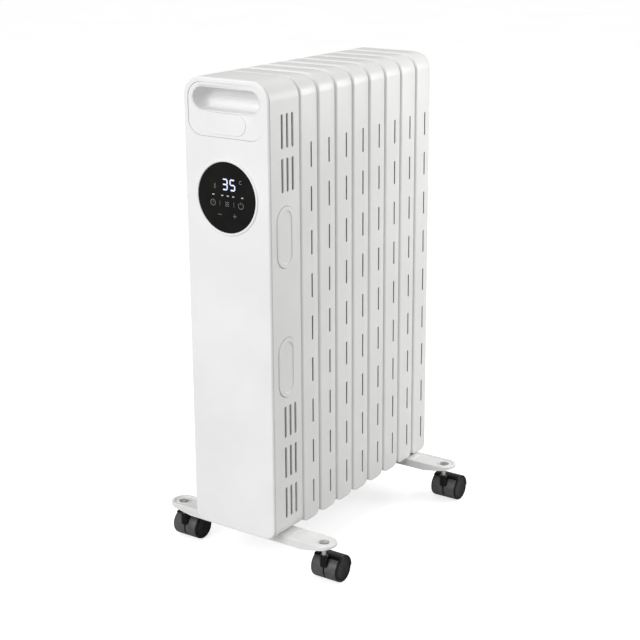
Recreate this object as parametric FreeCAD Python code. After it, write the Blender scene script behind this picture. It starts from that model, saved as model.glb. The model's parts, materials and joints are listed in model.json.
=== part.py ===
import FreeCAD, Part
import math
import os

# Oil filled radiator heater on four castors, in millimetres.
# X runs across the heater, Y from the control tower at the front to the last fin at the back,
# Z up. The origin is at the middle of the bounding box, on the floor.
# Heights named "height" are measured up from the body's bottom edge, and depths named "depth"
# are measured back from the fascia's front plane.

Vec = FreeCAD.Vector

# --- body as a whole
body_width = 126.4
body_height = 580.0
ground_clearance = 57.0
corner_top = 24.0
fascia_corner_low = 14.0
fin_corner_low = 4.0

# --- clearances and fits
seam = 0.6              # visible joint between the fascia and the casing
slip = 0.2              # a moulding dropped into its opening
running_fit = 0.05      # radial play of a pin, stem or threaded piece in its bore
plug_fit = 0.05         # radial play of a plug's spigot

# --- fascia and what it carries
fascia_thick = 3.0
fascia_edge = 2.4
insert_side = 6.2       # between the body's side and the insert
insert_below_top = 6.0
insert_tall = 65.0
insert_corner = 20.0
insert_step = 0.6
insert_flange = 3.0
insert_flange_thick = 1.4
recess_side = 7.0       # between the insert's side and the recess
recess_below_top = 25.8
recess_opening = 27.2
recess_deep = 26.0
recess_wall = 2.0
badge_half_width = 30.0
badge_below_top = 54.0
badge_tall = 26.0
badge_thick = 0.8
dial_below_top = 143.4
lens_radius = 43.7
lens_thick = 2.5
lens_sunk = 0.8
lens_clearance = 0.1
bezel_rim = 3.3
bezel_proud = 1.5
bezel_shoulder = 2.0
bezel_ledge = 2.6
bezel_reach = 5.0
display_board_thick = 1.6
led_block_wide = 44.0
led_block_tall = 34.0
boss_radius = 4.0
boss_side = 13.2        # between the body's side and a boss
boss_low_height = 110.0
boss_below_top = 90.0
boss_reach = 8.0
screw_radius = 1.6
screw_head_radius = 3.0
screw_head_thick = 2.0
screw_end_gap = 2.0     # left in a boss beyond the screw's point
lug_thick = 4.0
lug_half_tall = 6.0

# --- control casing
casing_depth = 59.0
casing_wall = 2.4
casing_lip = 6.0
casing_lip_thick = 2.4
low_vent_heights = (43.6, 98.0, 152.3)
upper_vents_below_top = (114.5, 61.0)
vent_columns = 3
vent_pitch = 10.5
vent_from_rear = 14.1
vent_long = 42.0
vent_wide = 4.0
cap_from_rear = 29.6
cap_share_below = 0.1   # of the wall between the vents that the two caps leave free
cap_share_above = 0.1425
cap_wide = 36.5
cap_tall = 77.0
cap_gap = 0.4
cap_proud = 1.2
cap_flange = 2.2
cap_flange_thick = 1.5
cap_dish_wide = 22.0
cap_dish_tall = 66.0
cap_dish_deep = 1.2

# --- electrical parts inside the tower
shield_thick = 1.2
shield_clearance = 0.3
power_board_wide = 96.0
power_board_tall = 130.0
power_board_thick = 1.6
board_post_radius = 3.0
board_post_long = 15.8
board_post_inset = 6.0
relay_size = (18.0, 15.0, 28.0)
relay_places = ((-36.0, -50.0), (-14.0, -50.0))
transformer_size = (34.0, 20.0, 30.0)
transformer_place = (4.0, 10.0)
capacitor_radius = 6.0
capacitor_long = 14.0
capacitor_places = ((-30.0, 30.0), (-12.0, 30.0))
cutout_radius = 9.0
cutout_long = 10.0
cutout_height = 200.0
cutout_tab = (6.0, 5.0, 0.8)
cutout_tab_x = 5.0
terminal_wide = 44.0
terminal_tall = 20.0
terminal_deep = 14.0
terminal_height = 140.0
tip_switch_wide = 24.0
tip_switch_deep = 18.0
tip_switch_tall = 26.0
tip_switch_depth = 29.0
sensor_wide = 8.0
sensor_deep = 10.0
sensor_tall = 16.0
sensor_height = 78.0
sensor_depth = 15.0
gland_bore = 4.0
gland_wall = 2.0
gland_lip = 2.0
gland_proud = 3.0
gland_inside = 10.0
gland_nut_ring = 2.0
gland_nut_thick = 4.0
gland_height = 36.0
gland_depth = 14.5

# --- fins
fin_count = 8
fin_gap = 0.5
fin_depth = 38.2
fin_sheet = 1.0
fin_fold = 3.5
fin_tuck = 2.2          # how far the flange leans in at its rear edge
fin_tuck_long = 11.0
lobe_front_rise = 4.7   # the flange's lower end is a lobe, rounded up to the front fold ...
lobe_front_long = 17.5
lobe_rear_radius = 13.0     # ... and up to the rear edge
tower_gap = 2.2
slot_count = 9
slot_long = 32.0
slot_wide = 3.0
slot_first_height = 38.8
slot_last_below_top = 97.2
slot_from_rear = 15.8
chamber_deep = 9.0
chamber_column_x = 24.0
chamber_column_half = 10.0
chamber_shelf = 9.0     # flat pressing round a header bush
chamber_edge = 2.5
header_height = 62.0
header_hole = 14.0

# --- oil headers and heating element
bush_step = 1.0         # between the header hole and the bush's bore
bush_wall = 2.0
end_cap_rim = 2.0
end_cap_thick = 2.5
rear_panel_thick = 1.0
rear_panel_from_edge = 3.0
rear_panel_play = 0.15
plug_rim = 4.0
plug_thick = 3.0
spigot_long = 3.0
plug_key = 5.0
plug_key_floor = 1.0
element_tube = 4.0
element_half_spacing = 7.0
element_stop = 6.0
element_pin = 1.5
element_pin_long = 9.0
flange_rim = 1.0
flange_thick = 4.0
gasket_wide = 7.0
gasket_thick = 1.0
shield_hole_clearance = 1.0

# --- tower fixings
stud_radius = 2.5
stud_shoulder = 4.0
stud_tail = 3.4
stud_half_spacing = 42.0
stud_low_height = 180.0
stud_below_top = 80.0
stud_nut_flats = 8.0
stud_nut_thick = 4.0

# --- foot brackets
bracket_beyond_end = 0.5    # past the round end about a castor's stem
bracket_wide = 33.0
bracket_tall = 11.0
bracket_tip_tall = 3.6
bracket_rise_long = 24.0    # from the knee to the castor's stem
bracket_slab = 3.1
bracket_wall = 1.6
bracket_edge = 1.2
dish_deep = 1.5
dish_from_body = 4.8
dish_rim = 4.0
pocket_radius = 7.0
pocket_deep = 4.2
pocket_wall = 1.6
front_bracket_from_rear = 26.1   # measured from the casing's rear edge
rear_bracket_in_fin = 3.3        # measured from the last fin's front sheet
bolt_radius = 2.5
bolt_head_radius = 5.5
bolt_head_thick = 2.5
bolt_below = 13.0
bolt_half_spacing = 40.0
wing_hub_radius = 5.0
wing_hub_tall = 5.0
wing_span = 12.0
wing_thick = 2.0
wing_tall = 7.0
wing_below_bracket = 1.0
hole_clearance = 0.4
u_bolt_before_fin = 5.7
u_bolt_play = 0.2

# --- castors
stem_x = 114.0
stem_radius = 3.0
stem_collar_radius = 5.0
stem_collar_tall = 1.9
stem_above_nut = 0.4
nut_flats = 10.0
nut_tall = 3.2
castor_trail = 15.0
wheel_radius = 17.0
castor_wide = 40.0
wheel_gap = 2.2
wheel_rim = 3.0
wheel_disc = 3.5
wheel_hub = 5.0
axle_radius = 2.5
axle_end = 1.5          # how far the axle stops inside the outer face of a wheel
web_thick = 1.4
web_below_tread = 0.6
hood_clearance = 0.6
hood_wall = 1.3
hood_front_angle = 122.0    # from the horizontal behind the axle, up and over to the front edge
hood_back_angle = -4.0
hood_side_inset = 0.4
socket_radius = 5.6
socket_proud = 2.6
socket_tall = 15.0
socket_point = 1.0
stem_in_socket = 7.5

# --- values worked out from the ones above
half_width = body_width / 2
fin_pitch = fin_depth + fin_gap
overall_depth = (bezel_proud + fascia_thick + seam + casing_depth + tower_gap
                 + (fin_count - 1) * fin_pitch + fin_depth)
front_y = -overall_depth / 2 + bezel_proud
body_low = ground_clearance
casing_front = fascia_thick + seam
casing_rear = casing_front + casing_depth
shield_depth = casing_rear - casing_lip_thick - shield_thick
first_fin_depth = casing_rear + tower_gap
last_fin_depth = first_fin_depth + (fin_count - 1) * fin_pitch
header_heights = (header_height, body_height - header_height)

insert_half_width = half_width - insert_side
insert_top_height = body_height - insert_below_top
insert_low_height = insert_top_height - insert_tall
recess_half_width = insert_half_width - recess_side
recess_middle_height = body_height - recess_below_top
badge_middle_height = body_height - badge_below_top
dial_middle_height = body_height - dial_below_top
bezel_radius = lens_radius + bezel_rim
bezel_spigot = bezel_radius - bezel_shoulder
boss_half_spacing = half_width - boss_side
boss_heights = (boss_low_height, body_height - boss_below_top)
stud_heights = (stud_low_height, body_height - stud_below_top)
power_board_middle_height = sum(stud_heights) / 2

vent_heights = low_vent_heights + tuple(body_height - below for below in upper_vents_below_top)
vent_depths = [casing_rear - vent_from_rear - i * vent_pitch for i in range(vent_columns)]
cap_depth = casing_rear - cap_from_rear
cap_wall_low = max(low_vent_heights) + vent_long / 2
cap_wall_high = body_height - max(upper_vents_below_top) - vent_long / 2
cap_wall_free = cap_wall_high - cap_wall_low - 2 * cap_tall
cap_heights = (cap_wall_low + cap_share_below * cap_wall_free + cap_tall / 2,
               cap_wall_high - cap_share_above * cap_wall_free - cap_tall / 2)
gland_body = gland_bore + gland_wall
gland_head = gland_body + gland_lip
gland_nut_flats = 2 * (gland_body + gland_nut_ring)

slot_pitch = (body_height - slot_last_below_top - slot_first_height) / (slot_count - 1)
bush_inner = header_hole + bush_step
bush_outer = bush_inner + bush_wall
end_cap_radius = bush_outer + end_cap_rim
chamber_hub = bush_outer + chamber_shelf
plug_radius = header_hole + plug_rim
gasket_radius = header_hole + gasket_wide
flange_radius = gasket_radius + flange_rim

front_bracket_depth = casing_rear - front_bracket_from_rear
rear_bracket_depth = last_fin_depth + rear_bracket_in_fin
u_bolt_depth = last_fin_depth - u_bolt_before_fin
bracket_half_length = stem_x + bracket_wide / 2 + bracket_beyond_end
bracket_knee = stem_x - bracket_rise_long
dish_start = half_width + dish_from_body
u_bolt_x = bush_outer + u_bolt_play + bolt_radius
wheel_half = castor_wide / 2
axle_z = wheel_radius
socket_top = axle_z + wheel_radius + hood_clearance + hood_wall + socket_proud
socket_low = socket_top - socket_tall
stem_low = socket_top - stem_in_socket

castor_sites = {
    "front_left": (-stem_x, front_bracket_depth),
    "front_right": (stem_x, front_bracket_depth),
    "rear_left": (-stem_x, rear_bracket_depth),
    "rear_right": (stem_x, rear_bracket_depth),
}


def y_at(depth):
    return front_y + depth


def z_at(height):
    return body_low + height


def outline(half, low, high, r_top, r_low, y):
    """Closed wire in the plane Y = y: a tall rectangle with two round top and two round low corners."""
    k_top = r_top * (1 - math.sqrt(0.5))
    k_low = r_low * (1 - math.sqrt(0.5))
    right_low = Part.Arc(Vec(half - r_low, y, low), Vec(half - k_low, y, low + k_low), Vec(half, y, low + r_low))
    right_top = Part.Arc(Vec(half, y, high - r_top), Vec(half - k_top, y, high - k_top), Vec(half - r_top, y, high))
    left_top = Part.Arc(Vec(r_top - half, y, high), Vec(k_top - half, y, high - k_top), Vec(-half, y, high - r_top))
    left_low = Part.Arc(Vec(-half, y, low + r_low), Vec(k_low - half, y, low + k_low), Vec(r_low - half, y, low))
    bottom = Part.LineSegment(Vec(r_low - half, y, low), Vec(half - r_low, y, low))
    right = Part.LineSegment(Vec(half, y, low + r_low), Vec(half, y, high - r_top))
    top = Part.LineSegment(Vec(half - r_top, y, high), Vec(r_top - half, y, high))
    left = Part.LineSegment(Vec(-half, y, high - r_top), Vec(-half, y, low + r_low))
    curves = (bottom, right_low, right, right_top, top, left_top, left, left_low)
    return Part.Wire([curve.toShape() for curve in curves])


def slab(wire, deep):
    """A flat wire carried back along Y."""
    return Part.Face(wire).extrude(Vec(0, deep, 0))


def body_slab(inset, depth, deep, r_low):
    """The body's own outline, drawn in by inset all round, as a plate of the given depth."""
    wire = outline(half_width - inset, z_at(inset), z_at(body_height - inset),
                   corner_top - inset, r_low - inset, y_at(depth))
    return slab(wire, deep)


def box(x_low, x_high, y_low, y_high, z_low, z_high):
    return Part.makeBox(x_high - x_low, y_high - y_low, z_high - z_low, Vec(x_low, y_low, z_low))


def rod_y(radius, x, z, depth, long):
    """A round bar that points along Y, starting at the given depth."""
    return Part.makeCylinder(radius, long, Vec(x, y_at(depth), z), Vec(0, 1, 0))


def rod_z(radius, x, y, z_low, z_high):
    return Part.makeCylinder(radius, z_high - z_low, Vec(x, y, z_low), Vec(0, 0, 1))


def stadium_bar(long, wide, thick):
    """An obround plate about the origin: long along Z, wide along X, from Y = 0 to Y = thick."""
    straight = long / 2 - wide / 2
    upper = Part.makeCylinder(wide / 2, thick, Vec(0, 0, straight), Vec(0, 1, 0))
    lower = Part.makeCylinder(wide / 2, thick, Vec(0, 0, -straight), Vec(0, 1, 0))
    middle = box(-wide / 2, wide / 2, 0, thick, -straight, straight)
    return middle.fuse([upper, lower]).removeSplitter()


def side_stadium(long, wide, x_low, x_high, depth, z):
    """The same plate facing sideways: it runs from x_low to x_high at a depth and a level."""
    plate = stadium_bar(long, wide, x_high - x_low)
    plate.rotate(Vec(0, 0, 0), Vec(0, 0, 1), -90)
    plate.translate(Vec(x_low, y_at(depth), z))
    return plate


def pill(half, tall, height, depth, deep):
    """A pill lying across the fascia."""
    plate = stadium_bar(2 * half, tall, deep)
    plate.rotate(Vec(0, 0, 0), Vec(0, 1, 0), 90)
    plate.translate(Vec(0, y_at(depth), z_at(height)))
    return plate


def hex_prism(flats, tall, bore):
    """A hexagon nut standing on Z = 0."""
    corner = flats / math.sqrt(3)
    points = [Vec(corner * math.cos(math.radians(60 * i)), corner * math.sin(math.radians(60 * i)), 0)
              for i in range(7)]
    prism = Part.Face(Part.makePolygon(points)).extrude(Vec(0, 0, tall))
    return prism.cut(rod_z(bore, 0, 0, -1, tall + 1))


def edges_at(shape, test):
    """The edges whose every end point passes the test."""
    return [edge for edge in shape.Edges if all(test(vertex.Point) for vertex in edge.Vertexes)]


def moved(shape, x, y, z):
    copy = shape.copy()
    copy.translate(Vec(x, y, z))
    return copy


def mirrored_x(shape):
    return shape.mirror(Vec(0, 0, 0), Vec(1, 0, 0))


# ---------------------------------------------------------------- fascia

def insert_wire(grow, depth):
    return outline(insert_half_width + grow, z_at(insert_low_height - grow), z_at(insert_top_height + grow),
                   insert_corner + grow, insert_corner + grow, y_at(depth))


def front_fascia():
    plate = body_slab(0, 0, fascia_thick, fascia_corner_low)
    front_edges = edges_at(plate, lambda p: abs(p.y - front_y) < 1e-6)
    plate = plate.makeFillet(fascia_edge, front_edges)
    cuts = [slab(insert_wire(slip, -1), fascia_thick + 2)]
    cuts.append(rod_y(bezel_spigot + slip, 0, z_at(dial_middle_height), -1, fascia_thick + 2))
    bosses = []
    for x in (-boss_half_spacing, boss_half_spacing):
        for height in boss_heights:
            bosses.append(rod_y(boss_radius, x, z_at(height), fascia_thick, boss_reach))
            cuts.append(rod_y(screw_radius, x, z_at(height), fascia_thick, boss_reach + 1))
    return plate.fuse(bosses).cut(cuts)


def handle_insert():
    """Panel behind the fascia with a pill-shaped finger recess for tilting and rolling the heater."""
    panel = slab(insert_wire(0, insert_step), fascia_thick - insert_step)
    flange = slab(insert_wire(insert_flange, fascia_thick), insert_flange_thick)
    cup = pill(recess_half_width + recess_wall, recess_opening + 2 * recess_wall,
               recess_middle_height, insert_step, recess_deep + recess_wall)
    hollow = pill(recess_half_width, recess_opening, recess_middle_height, 0, recess_deep + insert_step)
    return panel.fuse([flange, cup]).cut(hollow).removeSplitter()


def badge_plate():
    plate = pill(badge_half_width, badge_tall, badge_middle_height, insert_step - badge_thick, badge_thick)
    front = y_at(insert_step - badge_thick)
    return plate.makeFillet(badge_thick / 2, edges_at(plate, lambda p: abs(p.y - front) < 1e-6))


def display_bezel():
    level = z_at(dial_middle_height)
    ring = rod_y(bezel_radius, 0, level, -bezel_proud, bezel_proud)
    front = y_at(-bezel_proud)
    ring = ring.makeFillet(bezel_proud * 0.6, edges_at(ring, lambda p: abs(p.y - front) < 1e-6))
    spigot = rod_y(bezel_spigot, 0, level, 0, bezel_reach)
    lens_seat = rod_y(lens_radius + lens_clearance, 0, level, -bezel_proud, lens_sunk + lens_thick)
    window = rod_y(lens_radius - bezel_ledge, 0, level, 0, bezel_reach + 1)
    return ring.fuse(spigot).cut([lens_seat, window]).removeSplitter()


def display_lens():
    return rod_y(lens_radius, 0, z_at(dial_middle_height), lens_sunk - bezel_proud, lens_thick)


def display_board():
    return rod_y(bezel_spigot, 0, z_at(dial_middle_height), bezel_reach, display_board_thick)


def led_display_module():
    lens_back = lens_sunk - bezel_proud + lens_thick
    level = z_at(dial_middle_height)
    return box(-led_block_wide / 2, led_block_wide / 2, y_at(lens_back), y_at(bezel_reach),
               level - led_block_tall / 2, level + led_block_tall / 2)


def fascia_screws():
    """Self-tapping screws driven from inside through the casing lugs into the fascia bosses."""
    screws = []
    head_depth = fascia_thick + boss_reach + lug_thick
    shank_long = lug_thick + boss_reach - screw_end_gap
    for x in (-boss_half_spacing, boss_half_spacing):
        for height in boss_heights:
            head = rod_y(screw_head_radius, x, z_at(height), head_depth, screw_head_thick)
            shank = rod_y(screw_radius - running_fit, x, z_at(height), head_depth - shank_long, shank_long)
            screws.append(head.fuse(shank))
    return Part.makeCompound(screws)


# ---------------------------------------------------------------- casing

def control_casing():
    shell = body_slab(0, casing_front, casing_depth, fascia_corner_low)
    hollow = body_slab(casing_wall, casing_front - 1, casing_depth - casing_lip_thick + 1, fascia_corner_low)
    rear_opening = body_slab(casing_wall + casing_lip, casing_front, casing_depth + 1, fascia_corner_low)
    shell = shell.cut([hollow, rear_opening])
    lugs = []
    cuts = []
    for side in (-1, 1):
        for height in boss_heights:
            inner = side * (boss_half_spacing - boss_radius)
            outer = side * (half_width - casing_wall / 2)
            lugs.append(box(min(inner, outer), max(inner, outer), y_at(fascia_thick + boss_reach),
                            y_at(fascia_thick + boss_reach + lug_thick),
                            z_at(height - lug_half_tall), z_at(height + lug_half_tall)))
            cuts.append(rod_y(screw_radius + slip, side * boss_half_spacing, z_at(height),
                              fascia_thick, boss_reach + lug_thick + 1))
    for height in vent_heights:
        for depth in vent_depths:
            cuts.append(side_stadium(vent_long, vent_wide, -half_width - 1, half_width + 1, depth, z_at(height)))
    for height in cap_heights:
        cuts.append(side_stadium(cap_tall + 2 * cap_gap, cap_wide + 2 * cap_gap,
                                 -half_width - 1, half_width + 1, cap_depth, z_at(height)))
    cuts.append(Part.makeCylinder(gland_body + running_fit, casing_wall + 2,
                                  Vec(-half_width - 1, y_at(gland_depth), z_at(gland_height)), Vec(1, 0, 0)))
    for x in (-bolt_half_spacing, bolt_half_spacing):
        cuts.append(rod_z(bolt_radius + hole_clearance, x, y_at(front_bracket_depth),
                          body_low - 1, body_low + casing_wall + 1))
    return shell.fuse(lugs).cut(cuts).removeSplitter()


def side_caps():
    """The two dished oval caps that snap into the casing's right side."""
    caps = []
    wall_inside = half_width - casing_wall
    face = half_width + cap_proud
    for height in cap_heights:
        level = z_at(height)
        front = side_stadium(cap_tall, cap_wide, wall_inside, face, cap_depth, level)
        front = front.makeFillet(cap_proud * 0.8, edges_at(front, lambda p: abs(p.x - face) < 1e-6))
        back = side_stadium(cap_tall + 2 * cap_flange, cap_wide + 2 * cap_flange,
                            wall_inside - cap_flange_thick, wall_inside, cap_depth, level)
        dish = side_stadium(cap_dish_tall, cap_dish_wide, face - cap_dish_deep, face + 1, cap_depth, level)
        caps.append(front.fuse(back).cut(dish).removeSplitter())
    return Part.makeCompound(caps)


def heat_shield():
    plate = body_slab(casing_wall + shield_clearance, shield_depth, shield_thick, fascia_corner_low)
    cuts = [rod_y(flange_radius + shield_hole_clearance, 0, z_at(header_height), shield_depth - 1,
                  shield_thick + 2)]
    for x in (-stud_half_spacing, stud_half_spacing):
        for height in stud_heights:
            cuts.append(rod_y(stud_radius + running_fit, x, z_at(height), shield_depth - 1, shield_thick + 2))
    return plate.cut(cuts)


def tower_studs():
    """Shouldered studs welded to the first fin, which carry the heat shield and the casing."""
    studs = []
    shield_rear = shield_depth + shield_thick
    thread_start = shield_depth - stud_nut_thick - stud_tail
    for x in (-stud_half_spacing, stud_half_spacing):
        for height in stud_heights:
            shoulder = rod_y(stud_shoulder, x, z_at(height), shield_rear, first_fin_depth - shield_rear)
            thread = rod_y(stud_radius, x, z_at(height), thread_start, shield_rear - thread_start)
            studs.append(shoulder.fuse(thread))
    return Part.makeCompound(studs)


def tower_nuts():
    nuts = []
    for x in (-stud_half_spacing, stud_half_spacing):
        for height in stud_heights:
            nut = hex_prism(stud_nut_flats, stud_nut_thick, stud_radius + running_fit)
            nut.rotate(Vec(0, 0, 0), Vec(1, 0, 0), 90)
            nuts.append(moved(nut, x, y_at(shield_depth), z_at(height)))
    return Part.makeCompound(nuts)


def power_board():
    """Board with two relays, a transformer and two capacitors on its front."""
    level = z_at(power_board_middle_height)
    rear = y_at(shield_depth - board_post_long)
    front = rear - power_board_thick
    board = box(-power_board_wide / 2, power_board_wide / 2, front, rear,
                level - power_board_tall / 2, level + power_board_tall / 2)
    pieces = []
    blocks = [(relay_size, place) for place in relay_places] + [(transformer_size, transformer_place)]
    for (wide, deep, tall), (x, above) in blocks:
        pieces.append(box(x, x + wide, front - deep, front, level + above, level + above + tall))
    for x, above in capacitor_places:
        pieces.append(Part.makeCylinder(capacitor_radius, capacitor_long, Vec(x, front, level + above), Vec(0, -1, 0)))
    return board.fuse(pieces).removeSplitter()


def board_posts():
    posts = []
    for x in (-1, 1):
        for z in (-1, 1):
            posts.append(rod_y(board_post_radius, x * (power_board_wide / 2 - board_post_inset),
                               z_at(power_board_middle_height) + z * (power_board_tall / 2 - board_post_inset),
                               shield_depth - board_post_long, board_post_long))
    return Part.makeCompound(posts)


def thermal_cutout():
    can = rod_y(cutout_radius, 0, z_at(cutout_height), shield_depth - cutout_long, cutout_long)
    wide, long, thick = cutout_tab
    front = y_at(shield_depth - cutout_long)
    tabs = [box(x - wide / 2, x + wide / 2, front - long, front,
                z_at(cutout_height) - thick / 2, z_at(cutout_height) + thick / 2)
            for x in (-cutout_tab_x, cutout_tab_x)]
    return can.fuse(tabs)


def terminal_block():
    return box(-terminal_wide / 2, terminal_wide / 2, y_at(shield_depth - terminal_deep), y_at(shield_depth),
               z_at(terminal_height - terminal_tall / 2), z_at(terminal_height + terminal_tall / 2))


def tip_over_switch():
    """Sealed switch on the casing floor: it cuts the power when the heater leans or falls."""
    floor = body_low + casing_wall
    return box(-tip_switch_wide / 2, tip_switch_wide / 2, y_at(tip_switch_depth - tip_switch_deep / 2),
               y_at(tip_switch_depth + tip_switch_deep / 2), floor, floor + tip_switch_tall)


def room_sensor():
    wall_inside = -half_width + casing_wall
    return box(wall_inside, wall_inside + sensor_wide, y_at(sensor_depth - sensor_deep / 2),
               y_at(sensor_depth + sensor_deep / 2), z_at(sensor_height), z_at(sensor_height + sensor_tall))


def cable_gland():
    """Gland in the casing's left side. Its bore takes the mains lead."""
    axis_start = Vec(-half_width - gland_proud, y_at(gland_depth), z_at(gland_height))
    head = Part.makeCone(gland_body, gland_head, gland_proud, axis_start, Vec(1, 0, 0))
    body = Part.makeCylinder(gland_body, gland_proud + gland_inside, axis_start, Vec(1, 0, 0))
    bore = Part.makeCylinder(gland_bore, gland_proud + gland_inside + 2, axis_start - Vec(1, 0, 0), Vec(1, 0, 0))
    return head.fuse(body).cut(bore).removeSplitter()


def gland_nut():
    nut = hex_prism(gland_nut_flats, gland_nut_thick, gland_body + running_fit)
    nut.rotate(Vec(0, 0, 0), Vec(0, 1, 0), 90)
    return moved(nut, -half_width + casing_wall, y_at(gland_depth), z_at(gland_height))


# ---------------------------------------------------------------- fins and headers

def fin_tray(inset, front, rear):
    """The outside of a fin's folded tray, drawn in by inset: a straight part, then a part that
    leans in by fin_tuck over fin_tuck_long."""
    straight_end = fin_depth - fin_tuck_long
    lean = fin_tuck * (rear - straight_end) / fin_tuck_long

    def ring(extra, y):
        grow = inset + extra
        return outline(half_width - grow, z_at(grow), z_at(body_height - grow),
                       corner_top - grow, fin_corner_low - grow, y)

    straight = slab(ring(0, front), straight_end - front)
    front_edges = edges_at(straight, lambda p: abs(p.y - front) < 1e-6)
    straight = straight.makeFillet(fin_fold - inset, front_edges)
    leaning = Part.makeLoft([ring(0, straight_end), ring(lean, rear)], True, True)
    return straight.fuse(leaning)


def chamber(inset, front, deep, edge):
    """The pressed oil way: two columns joined across a round hub at each header."""
    low, high = (z_at(height) for height in header_heights)
    rear = front + deep
    half = chamber_column_half - inset
    pieces = []
    for side in (-1, 1):
        column = stadium_bar(high - low + 2 * half, 2 * half, deep)
        pieces.append(moved(column, side * chamber_column_x, front, (low + high) / 2))
    for level in (low, high):
        pieces.append(Part.makeCylinder(chamber_hub - inset, deep, Vec(0, front, level), Vec(0, 1, 0)))
    if edge > 0:
        pieces = [piece.makeFillet(edge, edges_at(piece, lambda p: abs(p.y - rear) < 1e-6)) for piece in pieces]
    return pieces[0].fuse(pieces[1:])


def below_lobe():
    """Everything under the lobe in which a fin's side flange ends: the lobe falls from the front
    fold in an arc, runs level, and rises to the rear edge in a quarter of a circle."""
    low = body_low
    rise = lobe_front_rise
    level_end = fin_depth - lobe_rear_radius
    bow = (lobe_front_long ** 2 + rise ** 2) / (2 * rise)
    middle = math.asin(lobe_front_long / bow) / 2
    front = Part.Arc(Vec(0, 0, low + rise),
                     Vec(0, lobe_front_long - bow * math.sin(middle), low + bow * (1 - math.cos(middle))),
                     Vec(0, lobe_front_long, low)).toShape()
    slant = lobe_rear_radius * math.sqrt(0.5)
    rear = Part.Arc(Vec(0, level_end, low), Vec(0, level_end + slant, low + lobe_rear_radius - slant),
                    Vec(0, fin_depth, low + lobe_rear_radius)).toShape()
    around = [Vec(0, fin_depth, low + lobe_rear_radius), Vec(0, fin_depth + 1, low + lobe_rear_radius),
              Vec(0, fin_depth + 1, low - 1), Vec(0, -1, low - 1), Vec(0, -1, low + rise), Vec(0, 0, low + rise)]
    sides = [Part.makeLine(start, end) for start, end in zip(around, around[1:])]
    level = Part.makeLine(Vec(0, lobe_front_long, low), Vec(0, level_end, low))
    edge = Part.Wire([front, level, rear] + sides)
    return moved(Part.Face(edge).extrude(Vec(body_width + 2, 0, 0)), -half_width - 1, 0, 0)


def fin():
    """One fin standing with its front sheet at Y = 0: a flanged sheet with the pressed oil way
    welded on its rear. The flange is open along the bottom and ends in a lobe on each side."""
    tray = fin_tray(0, 0, fin_depth).cut(fin_tray(fin_sheet, fin_sheet, fin_depth + 1))
    open_half = half_width - fin_corner_low
    bottom = box(-open_half, open_half, fin_sheet, fin_depth + 1,
                 body_low - 1, body_low + fin_corner_low + fin_sheet)
    cuts = [bottom, below_lobe()]
    slot_y = fin_depth - slot_from_rear
    for i in range(slot_count):
        slot = stadium_bar(slot_long, slot_wide, body_width + 2)
        slot.rotate(Vec(0, 0, 0), Vec(0, 0, 1), -90)
        cuts.append(moved(slot, -half_width - 1, slot_y, z_at(slot_first_height + i * slot_pitch)))
    tray = tray.cut(cuts)
    pad = chamber(0, fin_sheet / 2, fin_sheet / 2 + chamber_deep, chamber_edge)
    oil_way = chamber(fin_sheet, fin_sheet, chamber_deep - fin_sheet, 0)
    holes = [Part.makeCylinder(header_hole, chamber_deep + 4, Vec(0, -1, z_at(height)), Vec(0, 1, 0))
             for height in header_heights]
    return tray.fuse(pad).cut([oil_way] + holes).removeSplitter()


def header_bushes(height):
    """The rings that join neighbouring fins and carry the oil from one to the next."""
    bushes = []
    long = fin_pitch - fin_sheet - chamber_deep
    for i in range(fin_count - 1):
        start = first_fin_depth + i * fin_pitch + fin_sheet + chamber_deep
        ring = rod_y(bush_outer, 0, z_at(height), start, long)
        bushes.append(ring.cut(rod_y(bush_inner, 0, z_at(height), start - 1, long + 2)))
    return Part.makeCompound(bushes)


def header_end_caps():
    caps = []
    face = last_fin_depth + fin_sheet + chamber_deep
    for height in header_heights:
        disc = rod_y(end_cap_radius, 0, z_at(height), face, end_cap_thick)
        spigot = rod_y(header_hole - plug_fit, 0, z_at(height), face - spigot_long, spigot_long)
        caps.append(disc.fuse(spigot))
    return Part.makeCompound(caps)


def rear_panel():
    """Flat sheet that closes the back of the last fin, just inside its leaning flange."""
    face = fin_depth - rear_panel_from_edge
    lean = fin_tuck * (face - fin_depth + fin_tuck_long) / fin_tuck_long
    inset = fin_sheet + lean + rear_panel_play
    wire = outline(half_width - inset, z_at(lobe_rear_radius), z_at(body_height - inset), corner_top - inset,
                   fin_corner_low, y_at(last_fin_depth + face - rear_panel_thick))
    return slab(wire, rear_panel_thick)


def filler_plug():
    """Plug of the oil filling hole, at the front of the upper header."""
    level = z_at(header_heights[1])
    disc = rod_y(plug_radius, 0, level, first_fin_depth - plug_thick, plug_thick)
    spigot = rod_y(header_hole - plug_fit, 0, level, first_fin_depth, spigot_long)
    key = Part.makeBox(2 * plug_key, plug_thick, 2 * plug_key,
                       Vec(-plug_key, y_at(first_fin_depth - plug_thick - plug_key_floor), level - plug_key))
    return disc.fuse(spigot).cut(key)


def heating_element():
    """U-shaped sheathed element in the lower header, with two terminal pins at the front."""
    level = z_at(header_height)
    start = first_fin_depth - gasket_thick - flange_thick
    oil_end = last_fin_depth + fin_sheet + chamber_deep
    bend = oil_end - element_stop - element_half_spacing - element_tube
    pieces = []
    for x in (-element_half_spacing, element_half_spacing):
        pieces.append(rod_y(element_tube, x, level, start, bend - start))
        pieces.append(rod_y(element_pin, x, level, start - element_pin_long, element_pin_long))
    elbow = Part.makeTorus(element_half_spacing, element_tube, Vec(0, y_at(bend), level), Vec(0, 0, 1), 0, 360, 180)
    return elbow.fuse(pieces)


def element_flange():
    level = z_at(header_height)
    start = first_fin_depth - gasket_thick - flange_thick
    disc = rod_y(flange_radius, 0, level, start, flange_thick)
    holes = [rod_y(element_tube + running_fit, x, level, start - 1, flange_thick + 2)
             for x in (-element_half_spacing, element_half_spacing)]
    return disc.cut(holes)


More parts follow.
